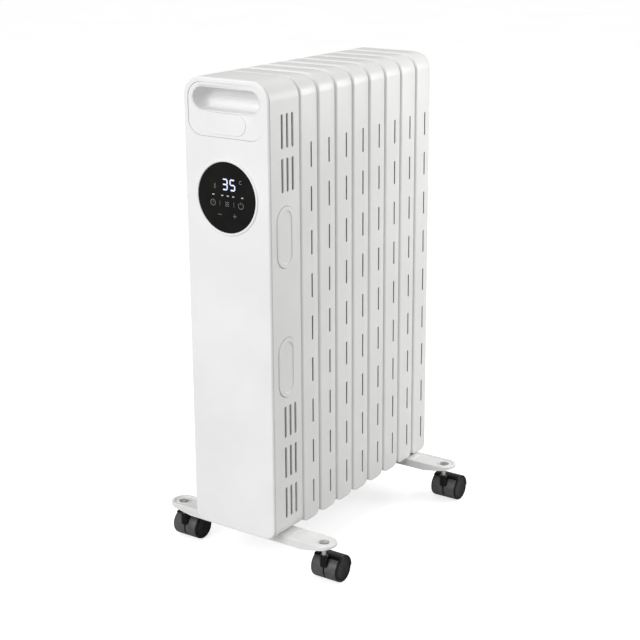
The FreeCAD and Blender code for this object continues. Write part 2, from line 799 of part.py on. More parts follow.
def element_gasket():
    level = z_at(header_height)
    start = first_fin_depth - gasket_thick
    ring = rod_y(gasket_radius, 0, level, start, gasket_thick)
    return ring.cut(rod_y(header_hole, 0, level, start - 1, gasket_thick + 2))


# ---------------------------------------------------------------- foot brackets

def plan_stadium(half_length, wide, x_middle, y, z_low, z_high):
    """An obround plate lying flat, long along X."""
    plate = stadium_bar(2 * half_length, wide, z_high - z_low)
    plate.rotate(Vec(0, 0, 0), Vec(0, 1, 0), 90)
    plate.rotate(Vec(0, 0, 0), Vec(1, 0, 0), 90)
    return moved(plate, x_middle, y, z_low)


def foot_bracket(depth, bolt_x, bolt_depth):
    """Pressed channel under the body: a skirt that rises to the tips, a shallow dish at each end
    and a pocket there for the castor's nut."""
    y = y_at(depth)
    top = body_low
    plate = plan_stadium(bracket_half_length, bracket_wide, 0, y, top - bracket_tall, top)
    plate = plate.makeFillet(bracket_edge, edges_at(plate, lambda p: abs(p.z - top) < 1e-6))
    inside = plan_stadium(bracket_half_length - bracket_wall, bracket_wide - 2 * bracket_wall, 0, y,
                          top - bracket_tall - 1, top - bracket_slab)
    cuts = [inside]
    dish_end = bracket_half_length - dish_rim
    low = top - bracket_tall - 1
    bosses = []
    for side in (-1, 1):
        dish = plan_stadium((dish_end - dish_start) / 2, bracket_wide - 2 * dish_rim,
                            side * (dish_start + dish_end) / 2, y, top - dish_deep, top + 1)
        cuts.append(dish)
        rise = [Vec(side * bracket_knee, y - bracket_wide, low),
                Vec(side * bracket_knee, y - bracket_wide, top - bracket_tall),
                Vec(side * (bracket_half_length + 1), y - bracket_wide, top - bracket_tip_tall),
                Vec(side * (bracket_half_length + 1), y - bracket_wide, low),
                Vec(side * bracket_knee, y - bracket_wide, low)]
        cuts.append(Part.Face(Part.makePolygon(rise)).extrude(Vec(0, 2 * bracket_wide, 0)))
        bosses.append(rod_z(pocket_radius + pocket_wall, side * stem_x, y,
                            top - pocket_deep - pocket_wall, top - dish_deep))
    plate = plate.cut(cuts).fuse(bosses)
    holes = []
    for side in (-1, 1):
        holes.append(rod_z(pocket_radius, side * stem_x, y, top - pocket_deep, top + 1))
        holes.append(rod_z(stem_radius + running_fit, side * stem_x, y, low, top))
        holes.append(rod_z(bolt_radius + hole_clearance, side * bolt_x, y_at(bolt_depth), low, top + 1))
    return plate.cut(holes).removeSplitter()


def front_bracket_bolts():
    bolts = []
    y = y_at(front_bracket_depth)
    floor = body_low + casing_wall
    for x in (-bolt_half_spacing, bolt_half_spacing):
        head = rod_z(bolt_head_radius, x, y, floor, floor + bolt_head_thick)
        bolts.append(head.fuse(rod_z(bolt_radius, x, y, body_low - bolt_below, floor)))
    return Part.makeCompound(bolts)


def rear_u_bolt():
    """U-bolt over the lower header between the last two fins, with both legs down through the bracket."""
    level = z_at(header_height)
    y = y_at(u_bolt_depth)
    section = Part.Face(Part.Wire(Part.makeCircle(bolt_radius, Vec(u_bolt_x, y, level), Vec(0, 0, 1))))
    bow = section.revolve(Vec(0, y, level), Vec(0, -1, 0), 180)
    legs = [rod_z(bolt_radius, x, y, body_low - bolt_below, level) for x in (-u_bolt_x, u_bolt_x)]
    return bow.fuse(legs)


def bracket_wing_nuts():
    nuts = []
    top = body_low - bracket_slab
    sites = [(x, y_at(front_bracket_depth)) for x in (-bolt_half_spacing, bolt_half_spacing)]
    sites += [(x, y_at(u_bolt_depth)) for x in (-u_bolt_x, u_bolt_x)]
    for x, y in sites:
        hub = rod_z(wing_hub_radius, x, y, top - wing_hub_tall, top)
        wings = box(x - wing_span, x + wing_span, y - wing_thick / 2, y + wing_thick / 2,
                    top - wing_tall, top - wing_below_bracket)
        bore = rod_z(bolt_radius + running_fit, x, y, top - wing_tall - 1, top + 1)
        nuts.append(hub.fuse(wings).cut(bore))
    return Part.makeCompound(nuts)


# ---------------------------------------------------------------- castors

def castor_stems():
    stems = []
    under = body_low - pocket_deep - pocket_wall
    stem_top = body_low - pocket_deep + nut_tall + stem_above_nut
    for x, depth in castor_sites.values():
        pin = rod_z(stem_radius, x, y_at(depth), stem_low, stem_top)
        collar = rod_z(stem_collar_radius, x, y_at(depth), under - stem_collar_tall, under)
        stems.append(pin.fuse(collar))
    return Part.makeCompound(stems)


def castor_nuts():
    nuts = []
    for x, depth in castor_sites.values():
        nut = hex_prism(nut_flats, nut_tall, stem_radius + running_fit)
        nuts.append(moved(nut, x, y_at(depth), body_low - pocket_deep))
    return Part.makeCompound(nuts)


def across(radius, half):
    """A round bar across the castor on the axle's line."""
    return Part.makeCylinder(radius, 2 * half, Vec(-half, castor_trail, axle_z), Vec(1, 0, 0))


def castor_hood():
    """Moulding that swivels about the stem at X = Y = 0: a hood over the tops and backs of both
    wheels, the socket for the stem, and a thin web down to the axle between the wheels."""
    inner = wheel_radius + hood_clearance
    outer = inner + hood_wall
    half = wheel_half - hood_side_inset

    def rim_point(angle):
        turn = math.radians(angle)
        return Vec(-half, castor_trail + outer * math.cos(turn), axle_z + outer * math.sin(turn))

    centre = Vec(-half, castor_trail, axle_z)
    back = rim_point(hood_back_angle)
    front = rim_point(hood_front_angle)
    rim = Part.Arc(back, rim_point((hood_back_angle + hood_front_angle) / 2), front)
    fan = Part.Wire([Part.makeLine(centre, back), rim.toShape(), Part.makeLine(front, centre)])
    sector = Part.Face(fan).extrude(Vec(2 * half, 0, 0))
    socket = rod_z(socket_radius, 0, 0, socket_low, socket_top)
    point = Part.makeCone(socket_radius, socket_radius - socket_point, socket_point,
                          Vec(0, 0, socket_low), Vec(0, 0, -1))
    shell = sector.fuse([socket, point]).cut(across(inner, wheel_half + 1))
    web_radius = wheel_radius - web_below_tread
    web = across(web_radius, web_thick / 2)
    rise = box(-web_thick / 2, web_thick / 2, -socket_radius / 2, castor_trail, axle_z, axle_z + inner + hood_wall / 2)
    rise = rise.common(across(inner + hood_wall / 2, web_thick / 2))
    bore = rod_z(stem_radius + running_fit, 0, 0, stem_low - running_fit, socket_top + 1)
    return shell.fuse([web, rise]).cut([bore, across(axle_radius + running_fit, wheel_half)]).removeSplitter()


def castor_axle():
    return across(axle_radius, wheel_half - axle_end)


def castor_wheels():
    """Two cup-shaped wheels pressed on the axle: a rim, a hub, and a disc at the outer side."""
    wheels = []
    inner_face = wheel_gap / 2
    for side in (-1, 1):
        def ring(r_out, r_in, x_low, x_high):
            start = Vec(side * x_low, castor_trail, axle_z)
            out = Part.makeCylinder(r_out, x_high - x_low, start, Vec(side, 0, 0))
            return out.cut(Part.makeCylinder(r_in, x_high - x_low + 2, start - Vec(side, 0, 0), Vec(side, 0, 0)))
        rim = ring(wheel_radius, wheel_radius - wheel_rim, inner_face, wheel_half)
        disc = ring(wheel_radius - wheel_rim / 2, axle_radius, wheel_half - wheel_disc, wheel_half - hood_side_inset)
        hub = ring(wheel_hub, axle_radius, inner_face, wheel_half - hood_side_inset)
        wheels.append(rim.fuse([disc, hub]).removeSplitter())
    return Part.makeCompound(wheels)


# ---------------------------------------------------------------- everything, by node

nodes = {
    "front_fascia": front_fascia(),
    "handle_insert": handle_insert(),
    "badge_plate": badge_plate(),
    "display_bezel": display_bezel(),
    "display_lens": display_lens(),
    "display_board": display_board(),
    "led_display_module": led_display_module(),
    "fascia_screws": fascia_screws(),
    "control_casing": control_casing(),
    "right_side_caps": side_caps(),
    "left_side_caps": mirrored_x(side_caps()),
    "heat_shield": heat_shield(),
    "tower_studs": tower_studs(),
    "tower_nuts": tower_nuts(),
    "power_board": power_board(),
    "board_posts": board_posts(),
    "thermal_cutout": thermal_cutout(),
    "terminal_block": terminal_block(),
    "tip_over_switch": tip_over_switch(),
    "room_sensor": room_sensor(),
    "cable_gland": cable_gland(),
    "gland_nut": gland_nut(),
    "header_bushes_lower": header_bushes(header_heights[0]),
    "header_bushes_upper": header_bushes(header_heights[1]),
    "header_end_caps": header_end_caps(),
    "rear_panel": rear_panel(),
    "filler_plug": filler_plug(),
    "heating_element": heating_element(),
    "element_flange": element_flange(),
    "element_gasket": element_gasket(),
    "front_foot_bracket": foot_bracket(front_bracket_depth, bolt_half_spacing, front_bracket_depth),
    "rear_foot_bracket": foot_bracket(rear_bracket_depth, u_bolt_x, u_bolt_depth),
    "front_bracket_bolts": front_bracket_bolts(),
    "rear_u_bolt": rear_u_bolt(),
    "bracket_wing_nuts": bracket_wing_nuts(),
    "castor_stems": castor_stems(),
    "castor_nuts": castor_nuts(),
}

one_fin = fin()
for i in range(fin_count):
    nodes["fin_%d" % (i + 1)] = moved(one_fin, 0, y_at(first_fin_depth + i * fin_pitch), 0)

castor_pieces = {"hood": castor_hood(), "axle": castor_axle(), "wheels": castor_wheels()}
for site, (x, depth) in castor_sites.items():
    for piece, shape in castor_pieces.items():
        nodes["castor_%s_%s" % (site, piece)] = moved(shape, x, y_at(depth), 0)

os.makedirs("parts", exist_ok=True)
whole = Part.makeCompound(list(nodes.values())).BoundBox
print("overall %.1f x %.1f x %.1f mm" % (whole.XLength, whole.YLength, whole.ZLength))
for name, shape in nodes.items():
    if not shape.isValid():
        print("not valid:", name)
    shape.exportStep("parts/%s.step" % name)
print(len(nodes), "nodes written")
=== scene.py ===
# %% [markdown]
# # An oil filled radiator on castors
# The heater is a white control tower in front of eight folded steel fins, standing on two pressed
# brackets with hooded castors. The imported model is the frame: it says where every part is. This
# lesson gives each visible part a finer surface, and then its finish. Lengths are in metres.

# %% Load the frame
import json
import math
import bpy
import bmesh
import numpy as np
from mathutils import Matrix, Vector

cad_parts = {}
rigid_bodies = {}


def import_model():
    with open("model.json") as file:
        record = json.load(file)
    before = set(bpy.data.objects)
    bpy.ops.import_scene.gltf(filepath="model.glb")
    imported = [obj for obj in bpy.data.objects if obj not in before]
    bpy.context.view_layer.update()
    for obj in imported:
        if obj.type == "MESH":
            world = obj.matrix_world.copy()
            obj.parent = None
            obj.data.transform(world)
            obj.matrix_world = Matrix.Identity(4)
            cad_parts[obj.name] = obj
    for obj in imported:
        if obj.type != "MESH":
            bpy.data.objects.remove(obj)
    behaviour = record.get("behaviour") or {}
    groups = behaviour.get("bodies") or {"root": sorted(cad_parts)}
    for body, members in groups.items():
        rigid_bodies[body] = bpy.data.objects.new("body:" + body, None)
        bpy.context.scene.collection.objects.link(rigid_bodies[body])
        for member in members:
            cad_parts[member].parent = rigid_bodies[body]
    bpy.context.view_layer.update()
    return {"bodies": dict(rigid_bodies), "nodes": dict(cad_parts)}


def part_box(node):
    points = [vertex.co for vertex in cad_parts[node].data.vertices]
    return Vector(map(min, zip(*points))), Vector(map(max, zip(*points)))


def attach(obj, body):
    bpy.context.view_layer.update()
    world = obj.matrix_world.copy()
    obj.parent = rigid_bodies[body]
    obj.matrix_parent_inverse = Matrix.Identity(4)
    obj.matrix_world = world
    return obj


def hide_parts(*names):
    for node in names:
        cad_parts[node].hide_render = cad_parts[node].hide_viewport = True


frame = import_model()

MM = 0.001

# %% [markdown]
# ## Places taken from the frame
# Every new surface is placed from the boxes of the parts it stands for, so nothing is fitted by eye.
# Depths are measured back from the fascia's front plane, and heights up from the body's bottom edge.

# %% Read the main levels
def corners(node):
    return tuple(np.array(corner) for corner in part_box(node))


fascia_low, fascia_high = corners("front_fascia")
FRONT = fascia_low[1]
BODY_LOW = fascia_low[2]
BODY_TALL = fascia_high[2] - BODY_LOW
HALF = fascia_high[0]
CORNER_TOP = 24 * MM
FASCIA_CORNER_LOW = 14 * MM
FIN_CORNER_LOW = 4 * MM
FIN_COUNT = sum(name.startswith("fin_") for name in frame["nodes"])
print("body half width %.4f, tall %.4f, fins %d" % (HALF, BODY_TALL, FIN_COUNT))

# %% [markdown]
# ## One way to make most of the shapes
# Fascia, casing, fins, caps and brackets are all the same idea: a rounded outline with an edge profile
# carried round it. An outline is a rounded rectangle, which is also a pill or a circle when its radius
# is half its height. A profile is a short list of (inset, depth) pairs, and each pair gives one ring.

# %% Outlines and rings
def rounded(half_a, b_low, b_high, r_high, r_low, arc=12):
    """Returns a function of inset that gives the points of a rounded rectangle, drawn in by inset.
    A corner's points are centre + r * (cos t, sin t), with r less the inset, never below 0.02 mm."""
    def points(inset):
        turns = np.linspace(0, math.pi / 2, arc)
        loops = []
        turning = ((1, -1, r_low), (1, 1, r_high), (-1, 1, r_high), (-1, -1, r_low))
        for corner, (sa, sb, r) in enumerate(turning):
            radius = max(r - inset, 0.02 * MM)
            centre_a = sa * (half_a - inset - radius)
            centre_b = (b_high - inset - radius) if sb > 0 else (b_low + inset + radius)
            t = turns + math.pi / 2 * (corner - 1)
            loops.append(np.stack([centre_a + radius * np.cos(t), centre_b + radius * np.sin(t)], axis=1))
        return np.concatenate(loops)
    return points


def circle(centre_b, radius, arc=24):
    return rounded(radius, centre_b - radius, centre_b + radius, radius, radius, arc)


def fold(from_inset, from_depth, to_inset, to_depth, bulge, steps=6):
    """A quarter of an ellipse between two profile points. bulge 'inset' leaves along the depth first."""
    t = np.linspace(0, math.pi / 2, steps + 1)
    if bulge == "inset":
        inset = from_inset + (to_inset - from_inset) * (1 - np.cos(t))
        depth = from_depth + (to_depth - from_depth) * np.sin(t)
    else:
        inset = from_inset + (to_inset - from_inset) * np.sin(t)
        depth = from_depth + (to_depth - from_depth) * (1 - np.cos(t))
    return list(zip(inset, depth))


# %% [markdown]
# Rings become a grid of quads. The grid is closed by joining its last ring to its first, or by a flat
# face over each end. A piece's faces are turned outwards once, before anything else is done to it.

# %% Grids into meshes
def quads(rows, columns, wrap_rows, wrap_columns):
    """Corner numbers of the quads of a grid whose point (i, j) has number i * columns + j."""
    i = np.arange(rows if wrap_rows else rows - 1)[:, None]
    j = np.arange(columns if wrap_columns else columns - 1)[None, :]
    i2, j2 = (i + 1) % rows, (j + 1) % columns
    ring = [i * columns + j, i * columns + j2, i2 * columns + j2, i2 * columns + j]
    return np.stack(ring, axis=-1).reshape(-1, 4)


def new_piece(name, parts):
    """Joins (points, faces) parts into one object with its faces turned outwards."""
    points, faces, start = [], [], 0
    for part_points, part_faces in parts:
        points.append(part_points)
        faces += [[start + corner for corner in face] for face in part_faces]
        start += len(part_points)
    mesh = bpy.data.meshes.new(name)
    mesh.from_pydata(np.concatenate(points), [], faces)
    tidy = bmesh.new()
    tidy.from_mesh(mesh)
    bmesh.ops.remove_doubles(tidy, verts=tidy.verts, dist=1e-6)
    bmesh.ops.recalc_face_normals(tidy, faces=tidy.faces)
    tidy.to_mesh(mesh)
    tidy.free()
    piece = bpy.data.objects.new(name, mesh)
    bpy.context.scene.collection.objects.link(piece)
    return piece


def swept(outline, profile, place, closed=False):
    """Points (i, j) = place(outline(inset_i)_j, depth_i). A closed profile makes a tube, and an open one
    is capped with a flat face at each end."""
    rings = []
    for inset, depth in profile:
        a, b = outline(inset).T
        rings.append(np.stack(place(a, b, np.full(len(a), depth)), axis=1))
    columns = len(rings[0])
    faces = quads(len(rings), columns, closed, True).tolist()
    if not closed:
        last = (len(rings) - 1) * columns
        faces += [list(range(columns)), list(range(last, last + columns))]
    return np.concatenate(rings), faces


def facing_front(a, b, depth):
    """Outline in X and Z, profile depth towards the back."""
    return a, FRONT + depth, BODY_LOW + b


def facing_side(side, middle_depth, middle_height, face):
    """Outline in Y and Z about a middle, profile depth inwards from a face at X = side * face."""
    def place(a, b, depth):
        return side * (face - depth), FRONT + middle_depth + a, BODY_LOW + middle_height + b
    return place


# %% [markdown]
# ## Cutting slots
# The vents, slots and openings are punched, so they are cut: each cutter is a prism on the same kind
# of outline. The exact boolean is worked out once and its result kept, so no modifier stays behind.

# %% Cutting and smoothing
def baked(piece):
    """Replaces a piece's mesh with what its modifiers make of it."""
    shown = piece.evaluated_get(bpy.context.evaluated_depsgraph_get())
    mesh = bpy.data.meshes.new_from_object(shown)
    piece.modifiers.clear()
    piece.data = mesh
    return piece


def carve(piece, cutter_parts):
    cutter = new_piece("cutter", cutter_parts)
    cut = piece.modifiers.new("cut", "BOOLEAN")
    cut.operation = "DIFFERENCE"
    cut.solver = "EXACT"
    cut.use_self = False
    cut.object = cutter
    bpy.context.view_layer.update()
    baked(piece)
    bpy.data.objects.remove(cutter)
    return piece


def soften(piece, edge=0.25 * MM, angle=38, segments=2):
    """Rounds the sharp edges a little, as on any pressed or moulded part, and shades the rest smooth."""
    piece.data.shade_smooth()
    if edge > 0:
        bevel = piece.modifiers.new("edge", "BEVEL")
        bevel.width = edge
        bevel.segments = segments
        bevel.limit_method = "ANGLE"
        bevel.angle_limit = math.radians(angle)
        bevel.use_clamp_overlap = True
    even = piece.modifiers.new("even", "WEIGHTED_NORMAL")
    even.keep_sharp = True
    return piece


# %% [markdown]
# ## Finishes
# The tower is satin moulded plastic, and the fins and brackets are powder coated steel. Both are
# nearly white, so what tells them apart is texture: powder coat has a shallow orange peel about a
# millimetre across, and the moulding has a finer grain. Neither is one flat colour.

# %% Materials
def finish(name, dark, light, patch, rough, grain, relief, metallic=0.0, coat=0.0, coat_rough=0.1, gloss=0.5):
    """A procedural finish on Object coordinates. Colour drifts between dark and light over patches of
    about patch metres, roughness drifts over the same patches, and a noise of size grain is the relief."""
    material = bpy.data.materials.new(name)
    material.use_nodes = True
    tree = material.node_tree
    shader = tree.nodes["Principled BSDF"]
    shader.inputs["Metallic"].default_value = metallic
    shader.inputs["Coat Weight"].default_value = coat
    shader.inputs["Coat Roughness"].default_value = coat_rough
    shader.inputs["Specular IOR Level"].default_value = gloss
    where = tree.nodes.new("ShaderNodeTexCoord")
    drift = tree.nodes.new("ShaderNodeTexNoise")
    drift.inputs["Scale"].default_value = 1 / patch
    drift.inputs["Detail"].default_value = 4
    tree.links.new(where.outputs["Object"], drift.inputs["Vector"])
    tint = tree.nodes.new("ShaderNodeValToRGB")
    tint.color_ramp.elements[0].position = 0.35
    tint.color_ramp.elements[0].color = (*dark, 1)
    tint.color_ramp.elements[1].position = 0.65
    tint.color_ramp.elements[1].color = (*light, 1)
    tree.links.new(drift.outputs["Fac"], tint.inputs["Fac"])
    tree.links.new(tint.outputs["Color"], shader.inputs["Base Color"])
    wear = tree.nodes.new("ShaderNodeMapRange")
    wear.inputs["To Min"].default_value = rough * 0.88
    wear.inputs["To Max"].default_value = rough * 1.12
    tree.links.new(drift.outputs["Fac"], wear.inputs["Value"])
    tree.links.new(wear.outputs["Result"], shader.inputs["Roughness"])
    fine = tree.nodes.new("ShaderNodeTexNoise")
    fine.inputs["Scale"].default_value = 1 / grain
    fine.inputs["Detail"].default_value = 2
    tree.links.new(where.outputs["Object"], fine.inputs["Vector"])
    bump = tree.nodes.new("ShaderNodeBump")
    bump.inputs["Strength"].default_value = 0.35
    bump.inputs["Distance"].default_value = relief
    tree.links.new(fine.outputs["Fac"], bump.inputs["Height"])
    tree.links.new(bump.outputs["Normal"], shader.inputs["Normal"])
    return material


def grey(level, warmth=0.0):
    """A nearly neutral colour. warmth takes blue away and adds a little yellow."""
    return level * (1 + 0.3 * warmth), level * (1 + 0.2 * warmth), level * (1 - warmth)


SATIN = finish("satin_white_moulding", grey(0.80), grey(0.84), 80 * MM, 0.42, 0.35 * MM, 0.010 * MM)
CASING = finish("casing_white_moulding", grey(0.74, 0.015), grey(0.78, 0.015), 90 * MM, 0.45,
                0.35 * MM, 0.012 * MM)
POWDER = finish("white_powder_coat", grey(0.74, 0.012), grey(0.78, 0.012), 120 * MM, 0.40,
                1.1 * MM, 0.03 * MM, coat=0.15, coat_rough=0.25)
BRACKET = finish("bracket_powder_coat", grey(0.74, 0.01), grey(0.79, 0.01), 60 * MM, 0.38,
                 1.0 * MM, 0.03 * MM, coat=0.2, coat_rough=0.25)
GLASS = finish("black_touch_glass", (0.007, 0.007, 0.007), (0.010, 0.010, 0.009), 30 * MM, 0.10,
               4 * MM, 0.001 * MM, gloss=0.08)
NYLON = finish("black_nylon", grey(0.003), grey(0.007), 8 * MM, 0.22, 0.5 * MM, 0.01 * MM, gloss=0.2)
TREAD = finish("grey_nylon_tread", grey(0.070), grey(0.095), 6 * MM, 0.42, 0.4 * MM, 0.015 * MM, gloss=0.3)
RIM = finish("black_wheel_rim", grey(0.004), grey(0.008), 7 * MM, 0.3, 0.4 * MM, 0.01 * MM, gloss=0.18)
DISC = finish("dark_wheel_disc", grey(0.008), grey(0.016), 9 * MM, 0.34, 0.4 * MM, 0.012 * MM, gloss=0.15)
ZINC = finish("zinc_plate", grey(0.45), grey(0.62), 5 * MM, 0.32, 0.6 * MM, 0.01 * MM, metallic=1.0)
SHEATH = finish("steel_sheath", grey(0.28, 0.08), grey(0.40, 0.08), 12 * MM, 0.35,
                0.8 * MM, 0.01 * MM, metallic=1.0)
INNER = finish("black_moulding", grey(0.012), grey(0.024), 15 * MM, 0.55, 0.5 * MM, 0.02 * MM)
BOARD = finish("green_circuit_board", (0.010, 0.07, 0.03), (0.016, 0.10, 0.045), 9 * MM, 0.4,
               0.6 * MM, 0.02 * MM)
FIBRE = finish("gasket_fibre", grey(0.05, 0.1), grey(0.09, 0.1), 3 * MM, 0.85, 0.4 * MM, 0.05 * MM)
print("finishes:", len(bpy.data.materials))

# %% Give the parts that keep their own shape a finish
def dress(piece, material):
    piece.data.materials.clear()
    piece.data.materials.append(material)
    return piece


KEPT = {
    ZINC: ("fascia_screws", "heat_shield", "tower_studs", "tower_nuts", "filler_plug", "front_bracket_bolts",
           "rear_u_bolt", "bracket_wing_nuts", "castor_stems", "castor_nuts"),
    SHEATH: ("heating_element", "element_flange"),
    FIBRE: ("element_gasket",),
    BOARD: ("display_board", "power_board"),
    INNER: ("led_display_module", "board_posts", "thermal_cutout", "terminal_block", "tip_over_switch",
            "room_sensor", "cable_gland", "gland_nut"),
    POWDER: ("header_bushes_lower", "header_bushes_upper", "header_end_caps", "rear_panel"),
}
for material, names in KEPT.items():
    for name in names:
        dress(frame["nodes"][name], material)


def stands_for(piece, body, slot, *nodes):
    """A finished piece rides on its body and hides the nodes it stands for. Its slot argument is not used."""
    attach(piece, body)
    if nodes:
        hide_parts(*nodes)
    return piece


TOWER = "heater_body"
print("parts that keep their shape:", sum(len(names) for names in KEPT.values()))

# %% [markdown]
# ## Fascia
# The fascia is a thin moulding with a generous rounded edge, an opening for the handle insert and a
# round one for the display. It is a slab with a folded edge profile, and the two openings are cut.

# %% Front fascia
FASCIA_THICK = 3 * MM
FASCIA_EDGE = 2.4 * MM
SLIP = 0.2 * MM
body_outline = rounded(HALF, 0, BODY_TALL, CORNER_TOP, FASCIA_CORNER_LOW, arc=16)
INSERT_HALF = 57 * MM
INSERT_LOW = 509 * MM
INSERT_HIGH = 574 * MM
INSERT_CORNER = 20 * MM
insert_outline = rounded(INSERT_HALF, INSERT_LOW, INSERT_HIGH, INSERT_CORNER, INSERT_CORNER)
bezel_low, bezel_high = corners("display_bezel")
DIAL_HEIGHT = (bezel_low[2] + bezel_high[2]) / 2 - BODY_LOW
BEZEL_RADIUS = (bezel_high[2] - bezel_low[2]) / 2
SPIGOT_RADIUS = 45.2 * MM

fascia_profile = fold(FASCIA_EDGE, 0, 0, FASCIA_EDGE, "flat")
fascia_profile += [(0, FASCIA_THICK - 0.5 * MM), (0.8 * MM, FASCIA_THICK)]
fascia = new_piece("fascia_moulding", [swept(body_outline, fascia_profile, facing_front)])
carve(fascia, [swept(insert_outline, [(-SLIP, -MM), (-SLIP, FASCIA_THICK + MM)], facing_front),
               swept(circle(DIAL_HEIGHT, SPIGOT_RADIUS), [(0, -MM), (0, FASCIA_THICK + MM)], facing_front)])
stands_for(dress(soften(fascia, 0.25 * MM), SATIN), TOWER, "fascia_plastic", "front_fascia")
print("fascia faces:", len(fascia.data.polygons))

# %% [markdown]
# ## Handle insert and badge
# A panel set a hair back from the fascia carries the finger recess. The recess is one smooth scoop:
# its wall leaves the panel over a soft lip, runs back, and turns into a rounded floor.

# %% Handle insert
INSERT_STEP = 0.6 * MM
RECESS_HEIGHT = 554.2 * MM
RECESS_HALF = 50 * MM
RECESS_TALL = 27.2 * MM
RECESS_DEEP = 26 * MM
RECESS_WALL = 2 * MM
LIP = 1.6 * MM
PANEL_REAR = 4.4 * MM
FLOOR_TURN = 9 * MM
FLOOR_INSET = 12.5 * MM
recess_outline = rounded(RECESS_HALF, RECESS_HEIGHT - RECESS_TALL / 2, RECESS_HEIGHT + RECESS_TALL / 2,
                         RECESS_TALL / 2, RECESS_TALL / 2)
panel_profile = [(0.5 * MM, INSERT_STEP), (0, INSERT_STEP + 0.5 * MM), (0, PANEL_REAR)]
panel = new_piece("handle_panel", [swept(insert_outline, panel_profile, facing_front)])
carve(panel, [swept(recess_outline, [(-LIP, -MM), (-LIP, 6 * MM)], facing_front)])
stands_for(dress(soften(panel, 0), SATIN), TOWER, "fascia_plastic", "handle_insert")

scoop_profile = fold(-LIP, INSERT_STEP, 0, INSERT_STEP + LIP, "flat", 5)
scoop_profile += fold(0, RECESS_DEEP - FLOOR_TURN, FLOOR_TURN, RECESS_DEEP, "inset", 7)
scoop_profile += [(FLOOR_INSET, RECESS_DEEP)]
scoop = swept(recess_outline, scoop_profile + [(FLOOR_INSET, RECESS_DEEP + RECESS_WALL)]
              + fold(FLOOR_TURN, RECESS_DEEP + RECESS_WALL, -RECESS_WALL, RECESS_DEEP - FLOOR_TURN, "flat", 7)
              + [(-RECESS_WALL, PANEL_REAR), (-LIP, PANEL_REAR)], facing_front, closed=True)
recess = new_piece("handle_recess_cup", [scoop, swept(
    recess_outline, [(12.45 * MM, RECESS_DEEP), (12.45 * MM, RECESS_DEEP + RECESS_WALL)], facing_front)])
stands_for(dress(soften(recess, 0), SATIN), TOWER, "fascia_plastic")

# %% Blank badge
badge_low, badge_high = corners("badge_plate")
badge_middle = (badge_low[2] + badge_high[2]) / 2 - BODY_LOW
badge_half_tall = (badge_high[2] - badge_low[2]) / 2
badge_front = badge_low[1] - FRONT
badge_outline = rounded(badge_high[0], badge_middle - badge_half_tall, badge_middle + badge_half_tall,
                        badge_half_tall, badge_half_tall)
badge_profile = [(1.5 * MM, badge_front + 0.35 * MM), (1.2 * MM, badge_front + 0.1 * MM)]
badge_profile += [(0.9 * MM, badge_front)] + fold(0.5 * MM, badge_front, 0, badge_front + 0.4 * MM, "flat", 4)
badge_profile += [(0, badge_front + 0.8 * MM)]
badge = new_piece("badge_pill", [swept(badge_outline, badge_profile, facing_front)])
stands_for(dress(soften(badge, 0), SATIN), TOWER, "badge", "badge_plate")
print("handle and badge made")

# %% [markdown]
# ## Display
# A white bezel holds a gloss black lens, whose figures shine through it. The lens is a flat disc
# with a rounded, polished edge, so that it catches one soft highlight. The figures are thin
# shapes just proud of the lens: bright segments, dim key symbols and five small lamps.

# %% Bezel and lens
lens_low, lens_high = corners("display_lens")
LENS_RADIUS = (lens_high[2] - lens_low[2]) / 2
LENS_FRONT = lens_low[1] - FRONT
BEZEL_FRONT = bezel_low[1] - FRONT
bezel_outline = circle(DIAL_HEIGHT, BEZEL_RADIUS)
inner_inset = BEZEL_RADIUS - LENS_RADIUS - 0.1 * MM
spigot_inset = BEZEL_RADIUS - 45 * MM
bezel_profile = fold(0.9 * MM, BEZEL_FRONT, 0, BEZEL_FRONT + 0.9 * MM, "flat", 5)
bezel_profile += [(0, 0), (spigot_inset, 0), (spigot_inset, 5 * MM), (BEZEL_RADIUS - 41.1 * MM, 5 * MM),
                  (BEZEL_RADIUS - 41.1 * MM, 1.9 * MM), (inner_inset, 1.9 * MM)]
bezel_profile += [(inner_inset, LENS_FRONT), (inner_inset - 0.5 * MM, BEZEL_FRONT + 0.15 * MM),
                  (inner_inset - 0.9 * MM, BEZEL_FRONT)]
bezel = new_piece("bezel_ring", [swept(bezel_outline, bezel_profile, facing_front, closed=True)])
stands_for(dress(soften(bezel, 0.1 * MM), SATIN), TOWER, "bezel", "display_bezel")

lens_outline = circle(DIAL_HEIGHT, LENS_RADIUS)
lens_profile = [(0, LENS_FRONT + 2.4 * MM)] + fold(0, LENS_FRONT + 0.5 * MM, 0.5 * MM, LENS_FRONT, "inset", 4)
lens = new_piece("touch_lens", [swept(lens_outline, lens_profile, facing_front)])
stands_for(dress(soften(lens, 0), GLASS), TOWER, "display_glass", "display_lens")

# %% Figures on the lens
FIGURE_THICK = 0.12 * MM


def on_lens(a, b, depth):
    return a, FRONT + LENS_FRONT - FIGURE_THICK + depth, BODY_LOW + b


